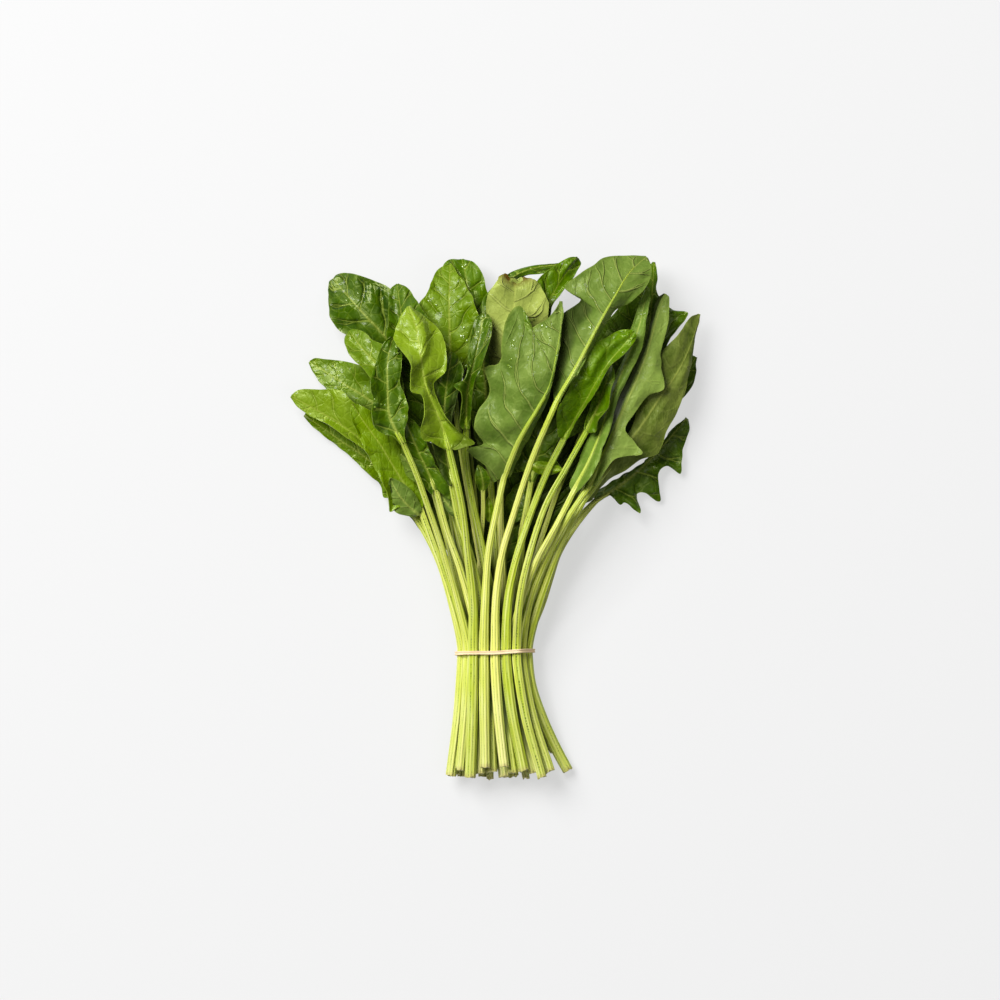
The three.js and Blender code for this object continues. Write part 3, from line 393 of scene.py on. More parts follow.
def treeWithout(*own):
    # All the solids that may hide the sky from a piece, without its own.
    corners, faces = [], []
    for name, (nodeCorners, nodeFaces) in nodeShapes.items():
        if name not in own:
            faces += [tuple(len(corners) + i for i in face) for face in nodeFaces]
            corners += nodeCorners
    return BVHTree.FromPolygons(corners, faces)


def castHeights(tree, x, y):
    # The lowest and highest point of a solid over a place in plan, or None.
    down = tree.ray_cast(Vector((x * mm, y * mm, 1)), Vector((0, 0, -1)))[0]
    up = tree.ray_cast(Vector((x * mm, y * mm, -1)), Vector((0, 0, 1)))[0]
    return None if down is None or up is None else (up.z / mm, down.z / mm)


skyLook = {
    "rings": ((12, 4), (34, 8), (58, 10)),  # degrees from straight up, and rays in each ring
    # the key lamp's side, whose sky counts more towards the painted shade
    "brightSide": Vector((-0.5, 0.5, 0.7)),
    "farthest": 80,  # what hides the sky from further away doesn't count
}
skyRays = []  # directions and the weight of each
for ring, count in skyLook["rings"]:
    for k in range(count):
        tilt, turn = math.radians(ring), 2 * math.pi * (k + ring / 50) / count
        toward = Vector((math.sin(tilt) * math.cos(turn), math.sin(tilt) * math.sin(turn), math.cos(tilt)))
        skyRays.append((toward, toward.z * (1 + max(0, toward.dot(skyLook["brightSide"])))))
skyWeight = sum(weight for _, weight in skyRays)


def openness(tree, spots):
    # The share of the sky that no solid hides, over each spot of a grid.
    farthest = skyLook["farthest"] * mm
    shares = []
    for spot in spots.reshape(-1, 3):
        start = Vector(spot * mm)
        seen = sum(weight for toward, weight in skyRays if tree.ray_cast(start, toward, farthest)[0] is None)
        shares.append(seen / skyWeight)
    return np.array(shares).reshape(spots.shape[:2])


def coarseOpenness(tree, spots, rowStep, columnStep):
    # The same, measured at every few rows and columns and drawn out evenly between them.
    sky = openness(tree, spots[::rowStep, ::columnStep])
    rowPlace, columnPlace = (np.arange(n) / s for n, s in zip(spots.shape, (rowStep, columnStep)))
    sky = np.stack([np.interp(rowPlace, np.arange(len(sky)), column) for column in sky.T], 1)
    return np.stack([np.interp(columnPlace, np.arange(len(row)), row) for row in sky])


def shapedGrid(name, points, values, uv, wrapped=False):
    # A grid primitive whose vertices are moved to the given points, an array of rows by columns.
    rows, columns = points.shape[:2]
    bpy.ops.object.select_all(action="DESELECT")
    bpy.ops.mesh.primitive_grid_add(x_subdivisions=columns - 1, y_subdivisions=rows - 1, size=1)
    piece = bpy.context.object
    piece.name = name
    mesh = piece.data
    flat = np.empty(len(mesh.vertices) * 3)
    mesh.vertices.foreach_get("co", flat)
    flat = flat.reshape(-1, 3)
    column = np.rint((flat[:, 0] + 0.5) * (columns - 1)).astype(int)
    row = np.rint((flat[:, 1] + 0.5) * (rows - 1)).astype(int)
    mesh.vertices.foreach_set("co", (points[row, column] * mm).ravel())
    for key, value in values.items():
        layer = mesh.attributes.new(key, "FLOAT", "POINT")
        value = np.broadcast_to(value, (rows, columns))
        layer.data.foreach_set("value", np.ascontiguousarray(value[row, column], np.float32))
    corner = np.empty(len(mesh.loops), int)
    mesh.loops.foreach_get("vertex_index", corner)
    mesh.uv_layers[0].data.foreach_set("uv", (uv[row, column][corner] * mm).ravel())
    if wrapped:
        bpy.ops.object.mode_set(mode="EDIT")
        bpy.ops.mesh.select_all(action="SELECT")
        bpy.ops.mesh.remove_doubles(threshold=1e-6)
        bpy.ops.mesh.normals_make_consistent(inside=False)
        bpy.ops.object.mode_set(mode="OBJECT")
    mesh.update()
    return piece


# The leaves, from the lowest to the highest, all outlines in plan:
#   slot        row and place in the row of its stalk, at the band
#   tone, tint  its colours, and how far it is towards the lighter one
#   stalk, rib  points from the band to the start of the blade, and from there to its tip
#   left, right the blade's edges on each side of the midrib, in pairs
#   tail        points from the cut end towards the band, where the stalk strays from the others
#   joins       how far along the midrib each pair is joined to it, where that isn't the nearest place
usualLeaf = {
    "underside": False,  # True where it lies face down
    "plain": False,  # True where its veins and puckers hardly show
    "torn": False,  # True where its tip is ragged and brown
    "lean": (0, 0),  # how far the left and the right half are raised
    "paintedShadeParts": [],  # parts painted darker as shade: how much on the left and right, and from and to along the midrib
    "folds": [],  # folds along a line: the line, the height, and the reach to its left and right
}
leafPlans = [
    {"slot": (0, 0), "tone": "mid", "tint": -0.2,
     "stalk": [(-26, 48)],
     "rib": [(-31.5, 58), (-52, 88), (-71, 108.5), (-91, 122.5), (-109, 135.5)],
     "left": [(-36.5, 61), (-48, 76.5), (-60, 87), (-63.5, 88.5), (-65, 95), (-73, 102), (-80.5, 109.5),
       (-90, 117.5), (-99.5, 124.5), (-106.5, 131.5)],
     "right": [(-24, 59.5), (-21, 76.5), (-24, 96), (-31.5, 114), (-45, 124.5), (-61, 126.5),
       (-73.5, 129), (-85, 131.5), (-95, 135), (-104.5, 138.5)]},
    {"slot": (0, 1), "tone": "dark", "tint": -0.65, "lean": (2, -2),
     "stalk": [(-20, 75), (-37, 126.5)],
     "rib": [(-52, 166.5), (-62.5, 179.5), (-77, 195), (-92.5, 213)],
     "left": [(-58.5, 165.5), (-70, 171), (-81.5, 179), (-88.5, 183), (-93.5, 189), (-95, 197),
       (-95, 205), (-94.5, 210.5)],
     "right": [(-47.5, 175), (-49.5, 186.5), (-54, 198), (-60, 207), (-68.5, 211.5), (-78, 215),
       (-85.5, 216), (-90, 215)]},
    {"slot": (0, 2), "tone": "dark", "tint": -0.6, "paintedShadeParts": [(0.4, 0.4, -0.1, 1.1)],
     "stalk": [(2.5, 24)],
     "rib": [(3.5, 36.5), (8.5, 64), (19, 98), (28.5, 129.5)],
     "left": [(-5, 41), (-15.5, 52.5), (-22, 69.5), (-26, 86.5), (-27.5, 105), (-28, 125.5), (-26, 145),
       (-8.5, 155)],
     "right": [(13, 40), (28.5, 51.5), (38, 66.5), (45, 82), (52, 95), (55.5, 108.5), (55.5, 121),
       (48.5, 135)]},
    {"slot": (0, 3), "tone": "dark", "tint": -0.3,
     "stalk": [(26, 52.5), (50.5, 86.5)],
     "rib": [(77, 112.5), (91, 132), (105.5, 152), (114.5, 168.5)],
     "left": [(65.5, 117.5), (65, 125.5), (68, 133.5), (73.5, 142), (81.5, 150.5), (88.5, 157.5),
       (98.5, 165.5), (110, 169.5)],
     "right": [(84, 110.5), (88.5, 117), (93, 123), (98, 132), (103.5, 141), (111, 149), (114, 155.5),
       (114.5, 162.5)]},
    {"slot": (0, 4), "tone": "dark", "tint": -0.5,
     "stalk": [(33.5, 54.5), (42.5, 71)],
     "rib": [(57.5, 86.5), (74, 97), (91, 112.5), (109.5, 133.5)],
     "left": [(55.5, 90), (60, 93), (63.5, 95), (66.5, 97.5), (70, 99), (73.5, 101.5), (77, 103),
       (80.5, 105.5), (84, 107.5), (86.5, 110), (90, 112.5), (93.5, 116.5), (96.5, 121), (99.5, 125.5),
       (103, 129), (106.5, 131.5)],
     "right": [(63.5, 88.5), (66.5, 89), (71, 84), (74.5, 85), (82.5, 79), (80.5, 88), (81.5, 90.5),
       (85.5, 90.5), (94, 86), (93, 101), (98, 106), (105.5, 101.5), (106.5, 108.5), (107, 115),
       (109, 121), (110.5, 126.5)]},
    {"slot": (1, 1), "tone": "light", "tint": -1.35, "lean": (-1, -1),
     "stalk": [(-31.5, 61), (-44, 92.5)],
     "rib": [(-55.5, 121), (-68.5, 141), (-82.5, 150.5), (-94, 158), (-106, 165.5)],
     "left": [(-60, 117.5), (-66.5, 123), (-76, 130), (-84, 137), (-89.5, 142.5), (-96, 149.5),
       (-101, 155.5), (-105, 161.5)],
     "right": [(-53, 132), (-57, 143.5), (-62.5, 152), (-69, 158.5), (-76.5, 163), (-85.5, 165.5),
       (-94, 166.5), (-102, 167.5)]},
    {"slot": (1, 0), "tone": "light", "tint": -0.25, "lean": (2, -1),
     "stalk": [(-33.5, 55.5), (-44, 75)],
     "rib": [(-52, 86.5), (-61, 102.5), (-76, 120.5), (-94, 133.5), (-116.5, 146)],
     "left": [(-56.5, 85.5), (-61.5, 94.5), (-66, 103.5), (-71, 111.5), (-78, 118), (-85.5, 123),
       (-95, 129.5), (-105.5, 134.5), (-112.5, 140)],
     "right": [(-47.5, 93.5), (-50, 103.5), (-55.5, 114), (-62, 125), (-70, 134.5), (-80, 142),
       (-88.5, 149), (-101, 149.5), (-111, 149.5)]},
    {"slot": (1, 2), "tone": "dark", "tint": 0.4, "lean": (3, -2),
     "stalk": [(-11, 81), (-15.5, 126.5)],
     "rib": [(-17, 160.5), (-15.5, 183.5), (-15.5, 206.5), (-19, 224)],
     "left": [(-22, 165.5), (-25.5, 175), (-27, 186.5), (-28, 198), (-28, 207.5), (-30, 217), (-27, 223)],
     "right": [(-12, 165.5), (-8, 175), (-5.5, 186.5), (-4, 196), (-4.5, 205), (-7, 215), (-11.5, 221.5)]},
    {"slot": (1, 3), "tone": "dark", "tint": -0.2,
     "stalk": [(-1, 75)],
     "rib": [(-3.5, 112.5), (-5, 143.5), (-6.5, 175), (-4.5, 192), (3, 207), (17, 217), (40.5, 221)],
     "left": [(-9.5, 116.5), (-13.5, 133.5), (-14, 152), (-12, 172), (-9, 190.5), (-7.5, 199.5),
       (-1, 208), (4.5, 213.5), (12.5, 217.5), (22, 220), (31.5, 221)],
     "right": [(3, 121), (4, 138), (3, 155), (0.5, 172), (1.5, 188), (5, 196), (9, 203.5), (12.5, 210),
       (18, 214.5), (27.5, 215.5), (36, 218.5)]},
    {"slot": (1, 4), "tone": "dark", "tint": 0.4,
     "stalk": [(16.5, 75)],
     "rib": [(26, 115), (28.5, 146.5), (26, 175), (29, 195), (37, 211), (47.5, 225)],
     "left": [(19, 121), (14, 141), (13, 160.5), (14, 178), (16.5, 192), (21, 203.5), (24, 211.5),
       (30, 217), (36.5, 221.5), (42, 224.5)],
     "right": [(40.5, 121), (53, 130), (55.5, 145), (44, 162), (35, 175), (31.5, 186.5), (32.5, 196.5),
       (37.5, 204), (43.5, 211.5), (48.5, 220)]},
    {"slot": (1, 5), "tone": "dark", "tint": 0.1,
     "stalk": [(35, 58), (60, 109.5)],
     "rib": [(79, 142.5), (86, 172), (89, 198), (90.5, 222.5)],
     "left": [(63.5, 142.5), (55.5, 157.5), (53, 171), (58.5, 183.5), (67.5, 192.5), (75, 202.5),
       (82, 211.5), (87, 219)],
     "right": [(88.5, 146), (94, 160.5), (98, 175), (103.5, 183.5), (110, 193), (100.5, 195), (92.5, 204),
       (92.5, 215)]},
    {"slot": (2, 3), "tone": "mid", "tint": -0.05, "lean": (-3, 2), "paintedShadeParts": [(0, 0.2, 0, 0.4)],
     "stalk": [(-12, 75), (-19, 115)],
     "rib": [(-24, 152), (-25.5, 172), (-26, 189), (-26, 206.5), (-25.5, 221.5)],
     "left": [(-28, 156), (-32.5, 165.5), (-37, 175), (-41.5, 186.5), (-43.5, 197), (-39, 204),
       (-36, 211), (-33, 217.5)],
     "right": [(-19, 158), (-13, 167.5), (-9.5, 178), (-8.5, 188), (-11, 197), (-14, 204), (-17.5, 210.5),
       (-21.5, 216)]},
    {"slot": (2, 2), "tone": "dark", "tint": -0.2, "lean": (2, -3),
     "stalk": [(-23, 75), (-28.5, 103.5)],
     "rib": [(-32.5, 121), (-38, 148), (-45, 166.5), (-50.5, 180.5), (-54, 198), (-55.5, 210)],
     "left": [(-40.5, 123), (-49.5, 134.5), (-53.5, 148), (-56.5, 160.5), (-59.5, 172), (-61.5, 180.5),
       (-60.5, 190.5), (-60.5, 199.5), (-59.5, 206.5)],
     "right": [(-27, 126.5), (-27.5, 141), (-29, 152), (-29, 162), (-30, 173.5), (-35, 186.5),
       (-41, 194.5), (-46, 202.5), (-50.5, 208)]},
    {"slot": (2, 1), "tone": "light", "tint": -0.9, "lean": (2, -2),
     "stalk": [(-28.5, 69.5), (-41.5, 112.5)],
     "rib": [(-53, 143.5), (-58.5, 152), (-66.5, 163), (-76, 173.5), (-83, 183)],
     "left": [(-58.5, 141.5), (-64.5, 146.5), (-69.5, 154), (-74.5, 160.5), (-80.5, 166.5), (-84.5, 172),
       (-86, 178)],
     "right": [(-52, 152), (-54, 160.5), (-57.5, 168), (-63.5, 174.5), (-70, 178), (-75, 182.5),
       (-80.5, 184)]},
    {"slot": (2, 0), "tone": "mid", "tint": 0.5, "plain": True, "paintedShadeParts": [(0.1, 0.35, -0.1, 1.1)],
     "stalk": [(-29, 44), (-36, 64)],
     "rib": [(-42.5, 82), (-48.5, 91), (-57.5, 105), (-65.5, 118.5), (-73.5, 129.5), (-81.5, 141.5)],
     "left": [(-48, 80), (-52.5, 78.5), (-54.5, 82.5), (-59.5, 80), (-60.5, 88), (-63.5, 96),
       (-67.5, 103.5), (-73.5, 114), (-78, 123), (-82, 133.5)],
     "right": [(-40.5, 88), (-44, 96), (-46, 103.5), (-49.5, 111.5), (-53, 118.5), (-56.5, 124.5),
       (-61, 130), (-66.5, 135), (-72.5, 138.5), (-78, 141)]},
    {"slot": (2, 4), "tone": "olive", "tint": 0.8, "underside": True, "torn": True, "lean": (0, -3),
     "paintedShadeParts": [(0.6, 0, 0, 0.55)],
     "stalk": [(3, 86.5), (4.5, 121)],
     "rib": [(5.5, 143.5), (7.5, 163.5), (9.5, 183.5), (11, 200.5), (11.5, 213)],
     "left": [(1.5, 146.5), (-1, 156), (-3, 167.5), (-4, 179), (-5, 190.5), (-5, 200.5), (-1, 208),
       (4.5, 214.5)],
     "right": [(12, 146.5), (17.5, 156), (23, 167.5), (27, 179), (30, 190.5), (30, 199.5), (26, 208),
       (19.5, 213.5)]},
    {"slot": (2, 5), "tone": "dark", "tint": -0.3,
     "stalk": [(15.5, 64)],
     "rib": [(20.5, 97), (24.5, 112.5), (30, 129.5), (37, 146.5)],
     "left": [(16.5, 103.5), (10.5, 102.5), (14, 112.5), (16.5, 121), (20, 129.5), (24.5, 138),
       (30, 143.5)],
     "right": [(25.5, 101.5), (37.5, 103.5), (32.5, 111.5), (34, 116.5), (37, 122), (41, 129.5),
       (41.5, 139)]},
    {"slot": (2, 6), "tone": "olive", "tint": -0.4, "underside": True, "plain": True, "lean": (3, -2),
     "paintedShadeParts": [(0.55, 0.55, 0.62, 1.2)],
     "tail": [(41.5, -67.5), (35, -55.5), (27, -38), (20.5, -19)],
     "stalk": [(37, 61)],
     "rib": [(49.5, 85), (68.5, 109.5), (82.5, 128), (94, 145), (104.5, 160.5), (112.5, 178),
       (116.5, 193)],
     "left": [(51.5, 91), (57.5, 99), (64.5, 108.5), (71, 117.5), (78.5, 129.5), (82.5, 143.5),
       (88.5, 156), (94, 169.5), (103.5, 180), (110.5, 190)],
     "right": [(55.5, 87), (60.5, 94), (66.5, 99.5), (74.5, 103.5), (82.5, 109.5), (93, 113.5),
       (97.5, 125.5), (105.5, 141), (111, 160.5), (114, 179.5)]},
    {"slot": (3, 1), "tone": "dark", "tint": -0.2,
     "stalk": [(-19.5, 46.5), (-27.5, 69.5)],
     "rib": [(-33.5, 92.5), (-39, 105), (-45.5, 118.5), (-52, 135)],
     "left": [(-36.5, 90), (-42, 97.5), (-46.5, 105), (-52, 114), (-53, 122), (-53.5, 130)],
     "right": [(-26, 87), (-25.5, 93.5), (-31, 102), (-35.5, 111), (-40, 123), (-46, 131.5)]},
    {"slot": (3, 0), "tone": "dark", "tint": -0.3, "lean": (3, -3),
     "stalk": [(-29, 55.5), (-37.5, 81), (-44.5, 101)],
     "rib": [(-52, 118.5), (-56.5, 126.5), (-60, 135), (-61, 149.5), (-61, 163.5), (-58.5, 179.5)],
     "left": [(-57.5, 122.5), (-64, 124.5), (-69, 129.5), (-70, 137), (-69, 143.5), (-71, 151),
       (-69.5, 159.5), (-66.5, 168), (-63.5, 175.5)],
     "right": [(-51.5, 124.5), (-50, 131.5), (-49.5, 136), (-49, 140), (-52, 147.5), (-54, 155),
       (-53, 163), (-53, 171), (-56, 176.5)]},
    {"slot": (3, 2), "tone": "dark", "tint": -0.6, "lean": (0, -4), "paintedShadeParts": [(0.8, 0.8, -0.1, 0.7)],
     "stalk": [(-14, 55.5), (-20.5, 75)],
     "rib": [(-24.5, 95), (-28, 115), (-29, 135), (-27.5, 152), (-24.5, 171)],
     "left": [(-28.5, 98), (-32.5, 106.5), (-35, 116.5), (-36, 129.5), (-35.5, 143.5), (-33.5, 154),
       (-29.5, 165.5)],
     "right": [(-21, 99), (-21, 109.5), (-23, 121), (-24.5, 132), (-22, 143.5), (-18, 158), (-20, 166.5)]},
    {"slot": (3, 3), "tone": "dark", "tint": -0.6, "lean": (-3, 3),
     "stalk": [(-6.5, 55.5), (-13, 86.5), (-16.5, 109.5)],
     "rib": [(-16.5, 126.5), (-16, 146.5), (-13, 162), (-9, 178), (-6.5, 193)],
     "left": [(-20, 129.5), (-19, 139), (-19, 147.5), (-23.5, 151.5), (-18, 154.5), (-16, 159.5),
       (-15.5, 167.5), (-14, 178), (-11.5, 189)],
     "right": [(-14, 129.5), (-13.5, 139), (-13, 147.5), (-11.5, 154), (-8.5, 160.5), (-5.5, 168.5),
       (-3, 176.5), (-1.5, 184.5), (-3, 191)]},
    {"slot": (3, 5), "tone": "grey", "tint": 1, "underside": True, "plain": True, "lean": (-5, 1),
     "paintedShadeParts": [(0.95, 0, 0.1, 1.1)],
     "stalk": [(20, 29.5), (30, 55.5), (41.5, 76.5)],
     "rib": [(54, 95), (64.5, 118), (72.5, 137), (80.5, 155), (87, 172), (91, 186.5), (97, 204.5)],
     "left": [(50, 97), (54, 105.5), (57.5, 112.5), (60, 118.5), (62.5, 125.5), (66.5, 135.5),
       (71, 145.5), (76, 155), (80.5, 164.5), (85.5, 176), (88.5, 189), (92, 200.5)],
     "right": [(58.5, 96), (66.5, 108.5), (74, 111.5), (84, 113.5), (74.5, 126), (79, 135.5), (87, 146),
       (96, 150), (94.5, 163), (94.5, 172), (98, 186.5), (99, 200.5)]},
    {"slot": (3, 4), "tone": "mid", "tint": 0.3, "underside": True, "plain": True, "lean": (0, 3),
     "stalk": [(15, 29.5), (24, 52.5), (35, 72.5)],
     "rib": [(44.5, 91), (53, 106.5), (60, 123.5), (66.5, 143.5), (74, 163.5), (81.5, 183.5),
       (87, 208.5)],
     "left": [(42.5, 96), (46, 103.5), (50, 115), (55.5, 126.5), (61.5, 137), (65, 148), (70, 160.5),
       (75, 172), (78.5, 188), (84, 203)],
     "right": [(49, 93.5), (54, 99), (57.5, 105), (61.5, 116.5), (65.5, 127.5), (69.5, 143.5), (77, 159),
       (83, 172), (86, 189), (88, 200.5)]},
    {"slot": (4, 4), "tone": "dark", "tint": 0.2,
     "stalk": [(14, 29.5), (19.5, 55.5), (29, 84), (40.5, 105)],
     "rib": [(52, 125.5), (57.5, 137), (62, 149.5), (66.5, 163.5)],
     "left": [(51.5, 132), (54, 139), (56, 146.5), (57.5, 152), (62, 158.5)],
     "right": [(57.5, 125.5), (58.5, 132), (64.5, 139), (65.5, 148), (68, 156)]},
    {"slot": (4, 3), "tone": "dark", "tint": 0.7, "plain": True, "lean": (3, 3),
     "paintedShadeParts": [(-1.5, 0, 0, 0.45)],
     "folds": [([(74.5, 180.5), (65.5, 174.5), (58, 165.5), (53.5, 155)], 2.4, 2.5, 3)],
     "stalk": [(7.5, 29.5), (12, 52.5), (20, 78), (29, 101)],
     "rib": [(39, 121), (44, 130), (51.5, 142.5), (58.5, 155), (65.5, 165.5), (73.5, 175), (79, 183)],
     "left": [(36, 123), (35, 130), (35.5, 138), (39, 144), (43.5, 154), (48, 163), (53.5, 173.5),
       (62, 178), (71, 183)],
     "right": [(42, 123), (46.5, 132), (52.5, 141), (57, 148), (61.5, 156), (66, 163.5), (72.5, 168.5),
       (77.5, 174), (80.5, 179.5)]},
    {"slot": (4, 2), "tone": "grey", "tint": -0.15, "underside": True, "lean": (-3, -3),
     "paintedShadeParts": [(0.85, 0, 0, 0.62)],
     "stalk": [(0.5, 29.5), (4, 55.5), (9.5, 75), (21, 109.5)],
     "rib": [(35, 142.5), (45.5, 160.5), (58, 184.5), (68.5, 203), (77, 216.5), (86.5, 225)],
     "left": [(33, 146.5), (32.5, 156), (33, 166.5), (35.5, 179), (38, 191.5), (49, 200.5), (39.5, 207),
       (48.5, 215.5), (56, 220), (62.5, 224.5), (77, 225.5)],
     "right": [(38, 145.5), (42.5, 152), (48, 159.5), (53, 169.5), (58.5, 179), (63.5, 187.5), (69, 195),
       (77, 199), (84.5, 206), (88.5, 213.5), (89, 220)]},
    {"slot": (4, 1), "tone": "grey", "tint": -0.1, "underside": True, "lean": (-3, 0),
     "paintedShadeParts": [(0.35, 0, 0.62, 0.9)],
     "joins": (0.02, 0.08, 0.14, 0.2, 0.26, 0.31, 0.36, 0.41, 0.45, 0.49, 0.53, 0.57, 0.61, 0.66, 0.76,
       0.85, 0.93),
     "folds": [([(10.5, 175), (12.5, 155), (11, 129.5)], 2, 9, 8)],
     "stalk": [(-5.5, 29.5), (-3.5, 58), (1, 81)],
     "rib": [(5, 99), (14, 121), (24, 138), (31.5, 152), (35, 169.5), (37.5, 186.5), (37.5, 200)],
     "left": [(-1, 97), (-5, 105.5), (-15.5, 115), (-6.5, 118.5), (-11.5, 127.5), (-10.5, 136),
       (-3, 147.5), (-5.5, 161.5), (2.5, 164.5), (4, 175), (5.5, 186), (10.5, 195.5), (16, 195.5),
       (17.5, 183), (24.5, 186.5), (31, 190.5), (35, 196)],
     "right": [(9, 100.5), (12.5, 108.5), (16, 115.5), (19, 121), (21.5, 126.5), (25, 133), (28.5, 140),
       (31, 146), (32, 150.5), (33, 155), (33.5, 159), (34, 163), (35.5, 167.5), (36.5, 172), (37.5, 179),
       (38, 185), (39, 192.5)]},
    {"slot": (4, 0), "tone": "light", "tint": 0.1, "lean": (3, -7),
     "paintedShadeParts": [(0.25, 0.5, -0.1, 1.2), (0.5, 0.4, -0.2, 0.32)],
     "folds": [([(-48, 195.5), (-42, 188.5), (-39.5, 180.5), (-40, 171), (-43.5, 164.5)], 3.5, 2.2, 8)],
     "stalk": [(-12.5, 29.5), (-15.5, 55.5), (-19, 84)],
     "rib": [(-26, 115), (-29, 125.5), (-33, 137), (-39, 150.5), (-42, 166.5), (-44.5, 183.5),
       (-49, 197)],
     "left": [(-31, 116.5), (-36, 119.5), (-41, 120.5), (-42.5, 126.5), (-40, 135), (-41.5, 145.5),
       (-48, 149), (-48, 163.5), (-56, 175), (-57, 181.5), (-53.5, 190.5)],
     "right": [(-22, 115), (-17.5, 116.5), (-11.5, 119), (-19.5, 124.5), (-26, 131), (-31, 140),
       (-35, 152), (-27.5, 160.5), (-28.5, 175), (-32.5, 184), (-40.5, 191)]},
]

stalkShape = {
    "rows": (5, 6, 7, 6, 5),  # stalks in each row at the band
    "pitch": 6.2,
    "packed": 4,  # how far they stay packed to each side of the band's middle
    "flare": 0.33,  # the part of a cut end's shift that is reached halfway there
    "width": 5.8,
    "neckWidth": 3.2,  # where the blade starts
    "flatness": 0.86,  # height over width
    "taper": 45,  # the length over which most of the extra width goes
    "twist": 1.2,  # the most that a cut end is turned, in radians
    "sides": 36,
    "rings": 104,
    "ridges": 8,
    "ridgeDepth": 0.085,
    "channel": 0.22,  # depth of the hollow along the upper side
    "channelWidth": 0.34,
    "midribEnd": 0.9,  # where the midrib runs out, as a share of the blade
    "ragged": 0.9,  # unevenness of the cut
}


def stalkCurve(number, plan):
    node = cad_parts[f"stalk_{number}"].data
    spots = np.array([vertex.co for vertex in node.vertices]) / mm
    foot = spots[spots[:, 1] < spots[:, 1].min() + 2][:, :2].mean(0)
    row, place = plan["slot"]
    x = (place - (stalkShape["rows"][row] - 1) / 2) * stalkShape["pitch"]
    packed = stalkShape["packed"]
    halfway = (x + stalkShape["flare"] * (foot[0] - x), foot[1] / 2)
    tail = plan.get("tail", [tuple(foot), halfway])
    return PlanCurve([*tail, (x, -packed), (x, packed), *plan["stalk"], plan["rib"][0]])


def stalkHeights(number, curve):
    # The middle height of the stalk's solid along its curve, smoothed.
    tree = nodeTree(f"stalk_{number}")
    shares = np.linspace(0.004, 0.996, 160)
    hits = [castHeights(tree, *spot) for spot in curve.at(shares)]
    known = [i for i, hit in enumerate(hits) if hit]
    middle = np.interp(range(len(hits)), known, [sum(hits[i]) / 2 for i in known])
    return shares, smoothAlong(middle, 7)


def ribShares(plan, rib):
    # Where each pair of edge points is joined to the midrib: near both, and never out of order.
    if "joins" in plan:
        return np.array(plan["joins"])
    count = len(plan["left"])
    least = 0.02
    pairs = zip(plan["left"], plan["right"])
    nearest = np.array([(rib.shareOf(a) + rib.shareOf(b)) / 2 for a, b in pairs])
    shares = 0.35 * np.arange(1, count + 1) / (count + 1) + 0.65 * nearest
    for k in range(count):
        shares[k] = max(shares[k], (shares[k - 1] if k else 0) + least)
    for k in reversed(range(count)):
        shares[k] = min(shares[k], (shares[k + 1] if k < count - 1 else 1) - least)
    return shares


def foldLift(spots, fold):
    # How far a fold lifts each spot.
    line, height, leftReach, rightReach = fold
    nearest = np.full(spots.shape[:2], np.inf)
    side = np.ones(spots.shape[:2])
    for a, b in zip(np.array(line[:-1], float), np.array(line[1:], float)):
        step = b - a
        share = np.clip(((spots - a) @ step) / (step @ step), 0, 1)
        away = spots - a - share[..., None] * step
        distance = np.linalg.norm(away, axis=2)
        closer = distance < nearest
        nearest = np.where(closer, distance, nearest)
        side = np.where(closer, step[0] * away[..., 1] - step[1] * away[..., 0], side)
    return height * np.exp(-((nearest / np.where(side > 0, leftReach, rightReach)) ** 2))


bladeShape = {
    "rows": 113,
    "columns": 51,
    "thickness": 0.5,
    "solidThickness": 0.8,  # of the same blade in the frame
    "veinSpacing": 13.0,
    "veinShift": 0.45,  # how far the right half's veins are out of level, as a share of the spacing
    "climb": {"face": 0.75, "back": 0.4},  # how steeply a side vein leaves the midrib for the tip
    "climbBend": 0.012,
    "pucker": 1.4,  # height of the cushions between the side veins
    "billow": 1.6,  # height of the broad waves
    "undersideBillow": 1.5,  # how many times higher they are where a leaf lies face down
    "lump": 0.8,
    "ruffle": 1.3,  # height of the waves in the edges
    "crisp": {"dark": 0.85, "mid": 0.6, "light": 0.34},  # how strongly each tone is puckered
    "undersideCrisp": -0.7,  # the same where a leaf lies face down and the cushions are hollows
    "plainPart": 0.3,  # the part of either that a plain leaf keeps
    "uneven": 0.5,  # how far the outline strays
    "tear": 1.6,  # and at a torn tip
    "noise": {  # size and seed of each
        "drift": (22, 0), "wander": (9, 20), "pucker": (12, 40), "billow": (12, 60),
        "lump": (5, 80), "ruffle": (7, 120), "edge": (4, 160),
    },
}


